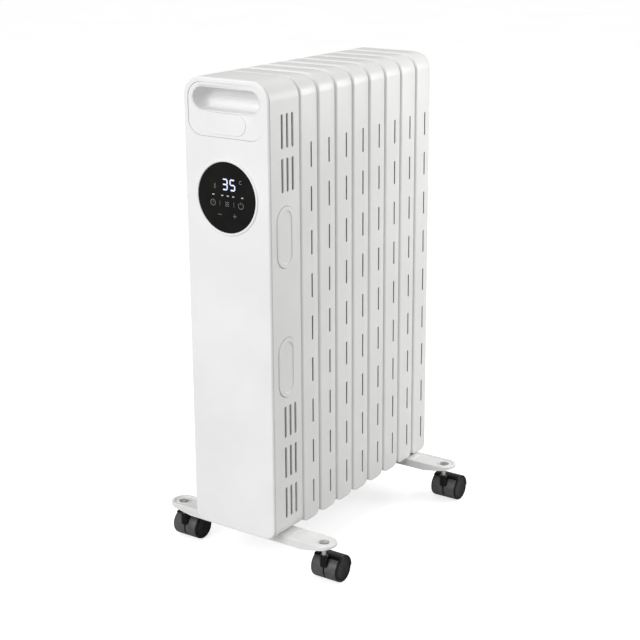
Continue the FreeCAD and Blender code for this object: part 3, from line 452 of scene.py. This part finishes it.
def stroke(points, width, closed=False):
    """A flat line of the given width along points: each point is pushed out by half the width along
    the line's own normal, and the two sides are joined front and back."""
    line = np.array(points) * MM
    if closed:
        before, after = np.roll(line, 1, axis=0), np.roll(line, -1, axis=0)
    else:
        before = np.concatenate([line[:1], line[:-1]])
        after = np.concatenate([line[1:], line[-1:]])
    along = after - before
    along /= np.linalg.norm(along, axis=1, keepdims=True)
    normal = np.stack([-along[:, 1], along[:, 0]], axis=1) * width * MM / 2
    ring = [line + normal, line - normal]
    section = ((ring[0], 0.0), (ring[0], FIGURE_THICK), (ring[1], FIGURE_THICK), (ring[1], 0.0))
    layers = [np.stack(on_lens(side[:, 0], side[:, 1], np.full(len(side), depth)), axis=1)
              for side, depth in section]
    grid = np.stack(layers, axis=1).reshape(-1, 3)
    faces = quads(len(line), 4, closed, True).tolist()
    if not closed:
        faces += [[0, 1, 2, 3], [len(grid) - 4, len(grid) - 3, len(grid) - 2, len(grid) - 1]]
    return grid, faces


def arc_points(a, b, radius, start, stop, count=20):
    t = np.radians(np.linspace(start, stop, count))
    return np.stack([a + radius * np.cos(t), b + radius * np.sin(t)], axis=1)


DIAL = DIAL_HEIGHT / MM
FIGURE_LOW = DIAL + 10.0
FIGURE_TALL = 12.6
FIGURE_WIDE = 6.8
SEGMENTS = {"top": ((0, 1), (1, 1)), "middle": ((0, 0.5), (1, 0.5)), "foot": ((0, 0), (1, 0)),
            "upper_left": ((0, 1), (0, 0.5)), "upper_right": ((1, 1), (1, 0.5)),
            "lower_left": ((0, 0.5), (0, 0)), "lower_right": ((1, 0.5), (1, 0))}
THREE = ("top", "middle", "foot", "upper_right", "lower_right")
FIVE = ("top", "middle", "foot", "upper_left", "lower_right")
bright = []
for left, lit in ((-5.6, THREE), (5.8, FIVE)):
    for name in lit:
        ends = np.array(SEGMENTS[name], float) * (FIGURE_WIDE, FIGURE_TALL)
        shrink = (ends[1] - ends[0]) / np.linalg.norm(ends[1] - ends[0]) * 0.55
        ends = ends + np.array([shrink, -shrink]) + (left, FIGURE_LOW)
        bright.append(stroke(ends, 1.7))

lamps = [stroke([(a - 1.5, DIAL + 2.4), (a + 1.5, DIAL + 2.4)], 1.3) for a in (-20.3, -6.6, 1.9, 10.1, 23.8)]

dim = [stroke(arc_points(21.6, DIAL + 20.8, 2.0, 45, 315), 0.8),
       stroke(arc_points(-17.6, DIAL + 11.6, 1.3, 120, 420), 0.6),
       stroke([(-18.2, DIAL + 12.8), (-18.2, DIAL + 15.6), (-17.6, DIAL + 16.2), (-17.0, DIAL + 15.6),
               (-17.0, DIAL + 12.8)], 0.6),
       stroke(arc_points(-21, DIAL - 7.6, 3.7, 0, 360 - 360 / 24, 24), 0.8, closed=True),
       stroke([(-21, DIAL - 5.2), (-21, DIAL - 7.6), (-19.3, DIAL - 7.6)], 0.8),
       stroke([(-10.5, DIAL - 4.4), (-10.5, DIAL - 10.8)], 0.5),
       stroke([(10.8, DIAL - 4.4), (10.8, DIAL - 10.8)], 0.5),
       stroke(arc_points(21.4, DIAL - 7.6, 3.7, 125, 415), 0.8),
       stroke([(21.4, DIAL - 3.0), (21.4, DIAL - 6.2)], 0.8),
       stroke([(-13.6, DIAL - 21.5), (-8.4, DIAL - 21.5)], 0.8),
       stroke([(9.2, DIAL - 21.5), (14.4, DIAL - 21.5)], 0.8),
       stroke([(11.8, DIAL - 18.9), (11.8, DIAL - 24.1)], 0.8)]
wave_run = np.linspace(-2.8, 2.8, 18)
for level in (-5.4, -7.6, -9.8):
    wave = DIAL + level + 0.5 * np.sin(2 * math.pi * wave_run / 3.7)
    dim.append(stroke(np.stack([0.6 + wave_run, wave], axis=1), 0.8))


def lit_finish(name, colour, strength):
    """Backlit print: a grey translucent ink whose own light varies a little across the figure."""
    material = finish(name, tuple(0.6 * c for c in colour), colour, 5 * MM, 0.4, 0.5 * MM, 0.002 * MM)
    shader = material.node_tree.nodes["Principled BSDF"]
    shader.inputs["Emission Color"].default_value = (*colour, 1)
    shader.inputs["Emission Strength"].default_value = strength
    return material


for name, parts, colour, strength in (("display_figures", bright, (0.58, 0.62, 0.84), 0.75),
                                      ("display_lamps", lamps, (0.34, 0.35, 0.33), 0.9),
                                      ("display_symbols", dim, (0.10, 0.10, 0.10), 0.6)):
    figures = new_piece(name, parts)
    stands_for(dress(figures, lit_finish(name + "_ink", colour, strength)), TOWER, "display_glass")
print("display strokes:", len(bright) + len(lamps) + len(dim))

# %% [markdown]
# ## Control casing
# The casing is a deep sleeve on the fascia's outline. Its front edge stands a seam's width behind the
# fascia and its rear edge is rounded. Slots for the air and openings for the oval caps are cut through
# each side wall.

# %% Casing sleeve
casing_low, casing_high = corners("control_casing")
CASING_FRONT = casing_low[1] - FRONT
CASING_REAR = casing_high[1] - FRONT
WALL = 2.4 * MM
REAR_FLANGE = 6 * MM
VENT_HEIGHTS = [h * MM for h in (43.6, 98.0, 152.3, 465.5, 519.0)]
VENT_DEPTHS = [d * MM for d in (27.5, 38.0, 48.5)]
VENT_LONG = 42 * MM
VENT_WIDE = 4 * MM
CAP_FACE = corners("right_side_caps")[1][0]
CAP_DEPTH = 33 * MM
CAP_HEIGHTS = [h * MM for h in (223.5, 389.3)]
CAP_WIDE = 36.5 * MM
CAP_TALL = 77 * MM
CAP_GAP = 0.4 * MM
SEAM_EDGE = 0.9 * MM


def stadium(wide, tall, arc=10):
    return rounded(wide / 2, -tall / 2, tall / 2, wide / 2, wide / 2, arc)


def side_cutters(shape, depth, height, reach=4 * MM, grow=0.0):
    """One cutter through each side wall."""
    through = [(-grow, -MM), (-grow, reach)]
    return [swept(shape, through, facing_side(side, depth, height, HALF)) for side in (-1, 1)]


casing_profile = [(SEAM_EDGE, CASING_FRONT), (0, CASING_FRONT + SEAM_EDGE)]
casing_profile += fold(0, CASING_REAR - 1.2 * MM, 1.2 * MM, CASING_REAR, "inset", 4)
casing_profile += [(WALL + REAR_FLANGE, CASING_REAR), (WALL + REAR_FLANGE, CASING_REAR - WALL)]
casing_profile += [(WALL, CASING_REAR - WALL), (WALL, CASING_FRONT)]
casing = new_piece("casing_sleeve", [swept(body_outline, casing_profile, facing_front, closed=True)])
cutters = []
for height in VENT_HEIGHTS:
    for depth in VENT_DEPTHS:
        cutters += side_cutters(stadium(VENT_WIDE, VENT_LONG), depth, height)
for height in CAP_HEIGHTS:
    cutters += side_cutters(stadium(CAP_WIDE, CAP_TALL, 14), CAP_DEPTH, height, grow=CAP_GAP)
carve(casing, cutters)
stands_for(dress(soften(casing, 0.3 * MM), CASING), TOWER, "casing_plastic", "control_casing")
print("casing faces:", len(casing.data.polygons))

# %% Oval caps
DISH_WIDE = 22 * MM
DISH_TALL = 66 * MM
dish_inset = (CAP_WIDE - DISH_WIDE) / 2


def cap_outline(inset):
    """The cap's outline, drawn in less at its ends than at its sides, so that it reaches the dish's own
    outline at both: end inset = inset * (CAP_TALL - DISH_TALL) / (CAP_WIDE - DISH_WIDE)."""
    end_inset = inset * (CAP_TALL - DISH_TALL) / (CAP_WIDE - DISH_WIDE)
    return stadium(CAP_WIDE - 2 * inset, CAP_TALL - 2 * end_inset, 14)(0)


cap_profile = [(0, 5 * MM)] + fold(0, 1.0 * MM, 1.0 * MM, 0, "inset", 5)
cap_profile += [(dish_inset - 1.2 * MM, 0)] + fold(dish_inset - 0.8 * MM, 0, dish_inset, 0.6 * MM, "flat", 4)
cap_profile += [(dish_inset + 0.3 * MM, 1.0 * MM), (dish_inset + 1.2 * MM, 1.2 * MM)]
for side, node in ((1, "right_side_caps"), (-1, "left_side_caps")):
    caps = new_piece(node.replace("caps", "oval_caps"), [
        swept(cap_outline, cap_profile, facing_side(side, CAP_DEPTH, height, CAP_FACE))
        for height in CAP_HEIGHTS])
    stands_for(dress(soften(caps, 0), CASING), TOWER, "casing_plastic", node)

# %% [markdown]
# ## Fins
# A fin is two steel sheets welded together. The front one is folded into a tray: round the edge with a
# small bend, straight back, and then a slight lean inwards behind the row of slots. The tray is open at
# the bottom, where each side ends in a rounded lobe. The rear sheet is pressed out into the oil way, two
# columns joined across a round hub at each header.

# %% Folded tray
fin_low, fin_high = corners("fin_1")
FIN_DEEP = fin_high[1] - fin_low[1]
SHEET = 1 * MM
FOLD = 3.5 * MM
LEAN = 2.2 * MM
LEAN_LONG = 11 * MM
SLOT_FROM_REAR = 15.8 * MM
SLOT_COUNT = 9
SLOT_PITCH = 55.5 * MM
SLOT_FIRST = 38.8 * MM
SLOT_LONG = 32 * MM
SLOT_WIDE = 3 * MM
LOBE_RISE = 4.7 * MM
LOBE_FRONT = 17.5 * MM
LOBE_RADIUS = 13 * MM
FIRST_FIN = fin_low[1] - FRONT
fin_outline = rounded(HALF, 0, BODY_TALL, CORNER_TOP, FIN_CORNER_LOW, arc=16)


def tray_parts(start):
    """The tray as one profile: outside from the front sheet to the rear edge, then back inside. Its two
    ends are capped, which gives the front sheet its two faces."""
    lean_start = start + FIN_DEEP - LEAN_LONG
    rear = start + FIN_DEEP
    outside = fold(FOLD, start, 0, start + FOLD, "flat", 6) + [(0, lean_start)]
    outside += [(LEAN, rear - 0.4 * MM), (LEAN + SHEET / 2, rear), (LEAN + SHEET, rear - 0.4 * MM)]
    inside = [(SHEET, lean_start)] + fold(SHEET, start + FOLD, FOLD, start + SHEET, "inset", 6)
    return swept(fin_outline, outside + inside, facing_front)


def below_lobe(start):
    """A prism across X under the curve in which a side ends. With d back from the front sheet, the
    curve is LOBE_RISE * (1 - d / LOBE_FRONT)^2 at the front, level, and a quarter circle at the rear."""
    front_d = np.linspace(0, LOBE_FRONT, 12)
    front_z = LOBE_RISE * (1 - front_d / LOBE_FRONT) ** 2
    t = np.linspace(0, math.pi / 2, 14)
    rear_d = FIN_DEEP - LOBE_RADIUS + LOBE_RADIUS * np.sin(t)
    rear_z = LOBE_RADIUS * (1 - np.cos(t))
    d = np.concatenate([[-MM], front_d, rear_d, [FIN_DEEP + MM, FIN_DEEP + MM, -MM]])
    z = np.concatenate([[LOBE_RISE], front_z, rear_z, [LOBE_RADIUS, -9 * MM, -9 * MM]])
    sides = [np.stack([np.full_like(d, x), FRONT + start + d, BODY_LOW + z], axis=1) for x in (-0.1, 0.1)]
    count = len(d)
    faces = quads(2, count, False, True).tolist() + [list(range(count)), list(range(count, 2 * count))]
    return np.concatenate(sides), faces


tray = new_piece("fin_1_tray", [tray_parts(FIRST_FIN)])
slot_depth = FIRST_FIN + FIN_DEEP - SLOT_FROM_REAR
cutters = []
for i in range(SLOT_COUNT):
    cutters += side_cutters(stadium(SLOT_WIDE, SLOT_LONG), slot_depth, SLOT_FIRST + i * SLOT_PITCH)
opening = rounded(HALF - FIN_CORNER_LOW, -MM, FIN_CORNER_LOW + SHEET, 0.1 * MM, 0.1 * MM, arc=2)
cutters.append(swept(opening, [(0, FIRST_FIN + SHEET), (0, FIRST_FIN + FIN_DEEP + MM)], facing_front))
carve(tray, cutters)
carve(tray, [below_lobe(FIRST_FIN)])
soften(tray, 0.15 * MM)
dress(tray, POWDER)
print("tray faces:", len(tray.data.polygons))

# %% Pressed oil way
HEADER = 62 * MM
HUB = 26 * MM
COLUMN_X = 24 * MM
COLUMN_HALF = 10 * MM
PRESSED = 9 * MM
SHOULDER = 5 * MM


def oil_way(start):
    """A height field on the tray's floor. The distance s to the oil way's outline is the least of the
    distances to its columns and hubs, and the height is PRESSED * smoothstep(-s / SHOULDER)."""
    half_a, low_b, high_b = HALF - 12 * MM, 12 * MM, BODY_TALL - 12 * MM
    a, b = np.meshgrid(np.linspace(-half_a, half_a, 62), np.linspace(low_b, high_b, 260))
    top = BODY_TALL - HEADER
    reach = np.clip(b, HEADER, top)
    column = np.hypot(np.abs(a) - COLUMN_X, b - reach) - COLUMN_HALF
    hub = np.minimum(np.hypot(a, b - HEADER), np.hypot(a, b - top)) - HUB
    rise = np.clip(-np.minimum(column, hub) / SHOULDER, 0, 1)
    height = PRESSED * rise * rise * (3 - 2 * rise)
    front_face = np.full_like(height, start + SHEET - 0.3 * MM)
    rear_face = start + SHEET + 0.05 * MM + height
    rows, columns = a.shape
    sheet = [np.stack([a, FRONT + depth, BODY_LOW + b], axis=-1).reshape(-1, 3)
             for depth in (front_face, rear_face)]
    faces = quads(rows, columns, False, False)
    count = rows * columns
    rim = np.concatenate([np.arange(columns), np.arange(1, rows) * columns + columns - 1,
                          (rows - 1) * columns + np.arange(columns - 2, -1, -1),
                          np.arange(rows - 2, 0, -1) * columns])
    rim_next = np.roll(rim, -1)
    sides = np.stack([rim, rim_next, rim_next + count, rim + count], axis=1)
    back = faces + count
    return np.concatenate(sheet), [rim[::-1].tolist()] + back.tolist() + sides.tolist()


pressing = new_piece("fin_1_oil_way", [oil_way(FIRST_FIN)])
dress(soften(pressing, 0), POWDER)

# %% Repeat the fin
for i in range(FIN_COUNT):
    node = "fin_%d" % (i + 1)
    shift = corners(node)[0][1] - fin_low[1]
    for first, part in ((tray, "tray"), (pressing, "oil_way")):
        piece = first
        if i:
            piece = first.copy()
            piece.data = first.data.copy()
            piece.name = "%s_%s" % (node, part)
            bpy.context.scene.collection.objects.link(piece)
            points = np.empty(len(piece.data.vertices) * 3, np.float32)
            piece.data.vertices.foreach_get("co", points)
            points[1::3] += shift
            piece.data.vertices.foreach_set("co", points)
        stands_for(piece, TOWER, "fin_paint", *([node] if part == "tray" else []))
print("fins made:", FIN_COUNT)

# %% [markdown]
# ## Foot brackets
# Each bracket is a pressed channel with round ends. Its skirt is deep under the body and rises
# towards the tips, so the lower rings of the profile are lifted where X is beyond the knee. The dish and the
# pocket over each castor are pressed into the top.

# %% Pressed brackets
BRACKET_KNEE = 90 * MM
BRACKET_TIP_TALL = 3.6 * MM
BRACKET_SLAB = 3.1 * MM
BRACKET_WALL = 1.6 * MM
DISH_RIM = 4 * MM
DISH_START = HALF + 4.8 * MM
DISH_DEEP = 1.5 * MM
POCKET_RADIUS = 7 * MM
POCKET_DEEP = 4.2 * MM
STEM_HOLE = 3.2 * MM
STEM_X = 114 * MM


def bracket(name, node):
    """The outline is a pill in X and Y. Each ring's height below the top is scaled by rise(x), which
    is 1 up to the knee and falls evenly to tip / tall at the end."""
    low_corner, high_corner = corners(node)
    half_long = high_corner[0]
    half_wide = (high_corner[1] - low_corner[1]) / 2
    middle = (high_corner[1] + low_corner[1]) / 2
    top = BODY_LOW
    tall = top - low_corner[2]

    def place(a, b, depth):
        along = np.clip((np.abs(a) - BRACKET_KNEE) / (half_long - BRACKET_KNEE), 0, 1)
        deepest = tall + (BRACKET_TIP_TALL - tall) * along
        return a, middle + b, top - np.minimum(depth, deepest)

    def pill(half, wide, arc=16):
        dense = rounded(half, -wide, wide, wide, wide, arc)

        def points(inset):
            """The pill's long sides are divided, so that the skirt's slope has points to follow."""
            ends = dense(inset)
            out = []
            for point, after in zip(ends, np.roll(ends, -1, axis=0)):
                steps = max(int(np.linalg.norm(after - point) / (6 * MM)), 1)
                out.append(point + (after - point) * np.linspace(0, 1, steps, endpoint=False)[:, None])
            return np.concatenate(out)
        return points

    outer = pill(half_long, half_wide)
    shape = outer(0)

    def shell_ring(inset):
        scale = np.array([(half_long - inset) / half_long, (half_wide - inset) / half_wide])
        return shape * scale

    profile = [(BRACKET_WALL, 0.0)] + fold(1.2 * MM, 0, 0, 1.2 * MM, "flat", 5)
    profile += [(0, 3.3 * MM), (0, 6 * MM), (0, tall)]
    profile += [(BRACKET_WALL, tall), (BRACKET_WALL, 6 * MM), (BRACKET_WALL, BRACKET_SLAB)]
    piece = new_piece(name, [swept(shell_ring, profile, place)])
    cutters = []
    for side in (-1, 1):
        dish_end = half_long - DISH_RIM
        dish_middle = side * (DISH_START + dish_end) / 2
        dish_half = (dish_end - DISH_START) / 2
        dish_wide = half_wide - DISH_RIM

        def dish_place(a, b, depth, shift=dish_middle):
            return a + shift, middle + b, top - depth

        dish = rounded(dish_half, -dish_wide, dish_wide, dish_wide, dish_wide, 14)
        cutters.append(swept(dish, [(-0.6 * MM, -MM), (-0.6 * MM, 0.0), (1.2 * MM, DISH_DEEP)], dish_place))
    carve(piece, cutters)
    pockets, holes = [], []
    for side in (-1, 1):
        def pocket_place(a, b, depth, shift=side * STEM_X):
            return a + shift, middle + b, top - depth

        ring = rounded(POCKET_RADIUS, -POCKET_RADIUS, POCKET_RADIUS, POCKET_RADIUS, POCKET_RADIUS, 12)
        wall = BRACKET_WALL
        holes.append(swept(ring, [(-0.8 * MM, -MM), (-0.8 * MM, BRACKET_SLAB + MM)], pocket_place))
        cup = fold(-2.6 * MM, DISH_DEEP, -1.4 * MM, DISH_DEEP - 0.9 * MM, "inset", 3)
        cup += fold(-0.9 * MM, DISH_DEEP - 0.9 * MM, 0, DISH_DEEP + 0.2 * MM, "flat", 3)
        cup += fold(0, POCKET_DEEP - 1.5 * MM, 1.5 * MM, POCKET_DEEP, "inset", 3)
        cup += [(POCKET_RADIUS - STEM_HOLE, POCKET_DEEP), (POCKET_RADIUS - STEM_HOLE, POCKET_DEEP + wall),
                (1.5 * MM, POCKET_DEEP + wall), (-wall, POCKET_DEEP), (-wall, BRACKET_SLAB),
                (-2.6 * MM, BRACKET_SLAB)]
        pockets.append(swept(ring, cup, pocket_place, closed=True))
    carve(piece, holes)
    stands_for(dress(soften(piece, 0.2 * MM), BRACKET), TOWER, "bracket_paint", node)
    cups = new_piece(name + "_pockets", pockets)
    stands_for(dress(soften(cups, 0), BRACKET), TOWER, "bracket_paint")
    return piece


for node in ("front_foot_bracket", "rear_foot_bracket"):
    made = bracket(node + "_pressing", node)
    print(made.name, len(made.data.polygons))

# %% [markdown]
# ## Castors
# A castor has a gloss black hood over the tops and backs of its wheels, a socket for the steel stem
# and a thin web down to the axle. Its two wheels have a grey tread, a black rounded shoulder and a dark,
# slightly hollow disc. One castor is made about its own stem and repeated on the other three.

# %% One castor
SITES = [name[:-len("_castor")] for name in frame["bodies"] if name.endswith("_castor")]
first = SITES[0]
wheels_low, wheels_high = corners("castor_%s_wheels" % first)
WHEEL_RADIUS = (wheels_high[2] - wheels_low[2]) / 2
WHEEL_HALF = (wheels_high[0] - wheels_low[0]) / 2
WHEEL_GAP = 2.2 * MM
TREAD_THICK = 3 * MM
SHOULDER_WIDE = 2.4 * MM
WHEEL_HUB = 5 * MM
AXLE_Z = WHEEL_RADIUS
TRAIL = 15 * MM
HOOD_INNER = WHEEL_RADIUS + 0.6 * MM
HOOD_OUTER = HOOD_INNER + 1.3 * MM
HOOD_HALF = WHEEL_HALF - 0.4 * MM
HOOD_ANGLES = (-4, 122)
SOCKET_RADIUS = 5.6 * MM
SOCKET_LOW = 22.5 * MM
SOCKET_TOP = 38.5 * MM
STEM_RADIUS = 3 * MM


def turned(profile, count, axis, centre):
    """A profile of (radius, along) pairs turned about an axis through centre, as a closed ring or, when
    it starts and ends at radius 0, a solid. Point = centre + along * axis + radius * (cos t, sin t)."""
    t = np.linspace(0, 2 * math.pi, count, endpoint=False)
    radius, along = np.array(profile).T
    u, v = radius[:, None] * np.cos(t), radius[:, None] * np.sin(t)
    w = np.repeat(along[:, None], count, axis=1)
    order = {"x": (w, u, v), "z": (u, v, w)}[axis]
    points = np.stack(order, axis=-1).reshape(-1, 3) + centre
    return points, quads(len(profile), count, True, True).tolist()


def hood_parts():
    """The shell is a band: its section across X is a rounded channel and it is carried round the axle
    between two angles. Point = axle + radius * (cos t, sin t), and each end is closed flat."""
    half = HOOD_HALF
    bend = 1.1 * MM
    outside = [(-half, HOOD_INNER), (-half, HOOD_OUTER - bend)]
    outside += [(-half + i, HOOD_OUTER - d) for i, d in fold(0, bend, bend, 0, "inset", 4)]
    section = outside + [(-x, r) for x, r in reversed(outside)]
    x, radius = np.array(section).T
    t = np.radians(np.linspace(*HOOD_ANGLES, 48))[:, None]
    points = np.stack([np.broadcast_to(x, (len(t), len(x))), TRAIL + radius * np.cos(t),
                       AXLE_Z + radius * np.sin(t)], axis=-1).reshape(-1, 3)
    columns = len(section)
    faces = quads(len(t), columns, False, True).tolist()
    last = (len(t) - 1) * columns
    faces += [list(range(columns)), list(range(last, last + columns))]
    return points, faces


def web_part(centre_radius, half, top_radius):
    """A thin plate between the wheels: a disc about the axle, with its upper rear half drawn out to
    meet the hood's underside."""
    t = np.linspace(0, 2 * math.pi, 72, endpoint=False)
    reach = np.where((t > math.radians(10)) & (t < math.radians(112)), top_radius, centre_radius)
    rings = []
    for x in (-half, half):
        across, along, up = np.full_like(t, x), TRAIL + reach * np.cos(t), AXLE_Z + reach * np.sin(t)
        rings.append(np.stack([across, along, up], axis=1))
    count = len(t)
    faces = quads(2, count, False, True).tolist() + [list(range(count)), list(range(count, 2 * count))]
    return np.concatenate(rings), faces


def socket_part():
    profile = [(STEM_RADIUS + 0.1 * MM, SOCKET_TOP), (SOCKET_RADIUS - 0.8 * MM, SOCKET_TOP),
               (SOCKET_RADIUS, SOCKET_TOP - 0.8 * MM), (SOCKET_RADIUS, SOCKET_LOW + MM),
               (SOCKET_RADIUS - MM, SOCKET_LOW), (0.3 * MM, SOCKET_LOW), (0.3 * MM, SOCKET_TOP - 7.6 * MM),
               (STEM_RADIUS + 0.1 * MM, SOCKET_TOP - 7.6 * MM)]
    return turned(profile, 40, "z", np.zeros(3))


def wheel_parts(side):
    """The tread turned about the axle, with a small shoulder at its inner edge."""
    inner, outer = WHEEL_GAP / 2, WHEEL_HALF
    base = WHEEL_RADIUS - TREAD_THICK
    profile = [(base, inner + 0.3 * MM), (WHEEL_RADIUS - 0.8 * MM, inner)]
    profile += [(WHEEL_RADIUS - 0.25 * MM, inner + 0.15 * MM), (WHEEL_RADIUS, inner + 0.5 * MM)]
    profile += [(WHEEL_RADIUS, outer - SHOULDER_WIDE), (base, outer - SHOULDER_WIDE)]
    return turned([(r, side * x) for r, x in profile], 96, "x", np.array([0, TRAIL, AXLE_Z]))


def rim_parts(side):
    """The outer shoulder, a quarter ellipse from the tread down to the lip round the disc."""
    outer = WHEEL_HALF
    base = WHEEL_RADIUS - TREAD_THICK
    profile = [(base, outer - SHOULDER_WIDE), (WHEEL_RADIUS - 0.15 * MM, outer - SHOULDER_WIDE)]
    shoulder = fold(0.15 * MM, 2.2 * MM, 1.6 * MM, 0.0, "inset", 6)
    profile += [(WHEEL_RADIUS - i, outer - d) for i, d in shoulder]
    profile += [(base + 0.3 * MM, outer), (base, outer - 0.3 * MM)]
    return turned([(r, side * x) for r, x in profile], 96, "x", np.array([0, TRAIL, AXLE_Z]))


def disc_parts(side):
    """The side disc: a groove next to the rim, a rounded shoulder and a face hollowed towards its
    middle, x = outer - hollow * (1 - (r / R)^2)."""
    edge_radius = WHEEL_RADIUS - 3.1 * MM
    face = WHEEL_HALF - 0.4 * MM
    radii = np.linspace(edge_radius - 1.2 * MM, 0.4 * MM, 9)
    hollow = 0.9 * MM * (1 - (radii / radii[0]) ** 2)
    profile = [(0.4 * MM, face - 3.2 * MM), (edge_radius, face - 3.2 * MM), (edge_radius, face - 0.9 * MM)]
    profile += [(edge_radius - 0.5 * MM, face - 0.25 * MM)]
    profile += list(zip(radii, face - hollow))
    hub_end, bore = face - 3.1 * MM, 0.4 * MM
    hub = [(WHEEL_HUB, WHEEL_GAP / 2), (WHEEL_HUB, hub_end), (bore, hub_end), (bore, WHEEL_GAP / 2)]
    centre = np.array([0, TRAIL, AXLE_Z])
    return [turned([(r, side * x) for r, x in shape], 72, "x", centre) for shape in (profile, hub)]


# %% Repeat the castors
def at_site(parts, stem):
    return [(points + stem, faces) for points, faces in parts]


hood = [hood_parts(), socket_part(), web_part(WHEEL_RADIUS - 0.9 * MM, 0.7 * MM, HOOD_INNER + 0.3 * MM)]
treads = [wheel_parts(side) for side in (-1, 1)]
rims = [rim_parts(side) for side in (-1, 1)]
discs = sum((disc_parts(side) for side in (-1, 1)), [])
for site in SITES:
    box_low, box_high = corners("castor_%s_wheels" % site)
    stem = np.array([(box_low[0] + box_high[0]) / 2, (box_low[1] + box_high[1]) / 2 - TRAIL, 0.0])
    shell = new_piece(site + "_hood", at_site(hood, stem))
    dress(soften(shell, 0.15 * MM), NYLON)
    stands_for(shell, site + "_castor", "castor_hood", "castor_%s_hood" % site)
    pair = new_piece(site + "_treads", at_site(treads, stem))
    stands_for(dress(soften(pair, 0), TREAD), site + "_wheel_set", "castor_wheel", "castor_%s_wheels" % site)
    for name, parts, material in (("_rims", rims, RIM), ("_discs", discs, DISC)):
        pair = new_piece(site + name, at_site(parts, stem))
        stands_for(dress(soften(pair, 0), material), site + "_wheel_set", "castor_wheel")
    dress(frame["nodes"]["castor_%s_axle" % site], ZINC)
print("castors:", len(SITES))

# %% [markdown]
# ## Floor, light and camera
# A pale floor and a white surround show a white object by its slightly darker faces. One large soft lamp
# stands in front and another above. A small one near the rear right makes the fins brighter towards the
# back. The floor glows only for direct rays, so it looks white without lighting the sides from below.

# %% Floor
def sheet(name, half, z):
    mesh = bpy.data.meshes.new(name)
    square = [(-half, -half, z), (half, -half, z), (half, half, z), (-half, half, z)]
    mesh.from_pydata(square, [], [(0, 1, 2, 3)])
    piece = bpy.data.objects.new(name, mesh)
    bpy.context.scene.collection.objects.link(piece)
    return piece


PAPER = finish("floor_paper", grey(0.52), grey(0.56), 0.4, 0.9, 1.5 * MM, 0.01 * MM)
paper_tree = PAPER.node_tree
paper_shader = paper_tree.nodes["Principled BSDF"]
paper_shader.inputs["Emission Color"].default_value = (1, 1, 1, 1)
direct = paper_tree.nodes.new("ShaderNodeLightPath")
gain = paper_tree.nodes.new("ShaderNodeMath")
gain.operation = "MULTIPLY"
gain.inputs[1].default_value = 0.7
paper_tree.links.new(direct.outputs["Is Camera Ray"], gain.inputs[0])
paper_tree.links.new(gain.outputs["Value"], paper_shader.inputs["Emission Strength"])
dress(sheet("studio_floor", 12.0, -0.0002), PAPER)

# %% Light
world = bpy.data.worlds.new("studio")
bpy.context.scene.world = world
world.use_nodes = True
tree = world.node_tree
tree.nodes.clear()
seen = tree.nodes.new("ShaderNodeBackground")
seen.inputs["Color"].default_value = (1, 1, 1, 1)
seen.inputs["Strength"].default_value = 1.0
lighting = tree.nodes.new("ShaderNodeBackground")
lighting.inputs["Color"].default_value = (1.0, 1.0, 1.0, 1)
lighting.inputs["Strength"].default_value = 0.5
path = tree.nodes.new("ShaderNodeLightPath")
mix = tree.nodes.new("ShaderNodeMixShader")
output = tree.nodes.new("ShaderNodeOutputWorld")
tree.links.new(path.outputs["Is Camera Ray"], mix.inputs["Fac"])
tree.links.new(lighting.outputs["Background"], mix.inputs[1])
tree.links.new(seen.outputs["Background"], mix.inputs[2])
tree.links.new(mix.outputs["Shader"], output.inputs["Surface"])


def lamp(name, place, target, size, power):
    data = bpy.data.lights.new(name, "AREA")
    data.shape = "SQUARE"
    data.size = size
    data.energy = power
    piece = bpy.data.objects.new(name, data)
    bpy.context.scene.collection.objects.link(piece)
    aim = np.array(target) - np.array(place)
    aim = aim / np.linalg.norm(aim)
    piece.location = place
    piece.rotation_euler = (math.acos(-aim[2]), 0, math.atan2(-aim[0], aim[1]))
    return piece


MIDDLE = (0, 0, 0.32)
lamp("key", (-0.4, -3.2, 2.0), MIDDLE, 2.0, 76)
lamp("side", (0.75, 0.72, 0.70), (0.06, 0.15, 0.40), 0.5, 6.5)
lamp("top", (0.0, 0.4, 3.2), MIDDLE, 2.5, 18)

# %% Camera
CAMERA_PLACE = (1.06195, -1.51781, 0.86727)
CAMERA_YAW = 33.50
CAMERA_PITCH = 15.37
camera_data = bpy.data.cameras.new("camera")
camera_data.sensor_width = 36
camera_data.lens = 81.0
camera_data.shift_x = -0.05
camera_data.shift_y = -0.075
camera = bpy.data.objects.new("camera", camera_data)
bpy.context.scene.collection.objects.link(camera)
camera.location = CAMERA_PLACE
camera.rotation_euler = (math.radians(90 - CAMERA_PITCH), 0, math.radians(CAMERA_YAW))
bpy.context.scene.camera = camera
bpy.context.scene.view_settings.view_transform = "Standard"

# %% Finish
bpy.context.view_layer.update()
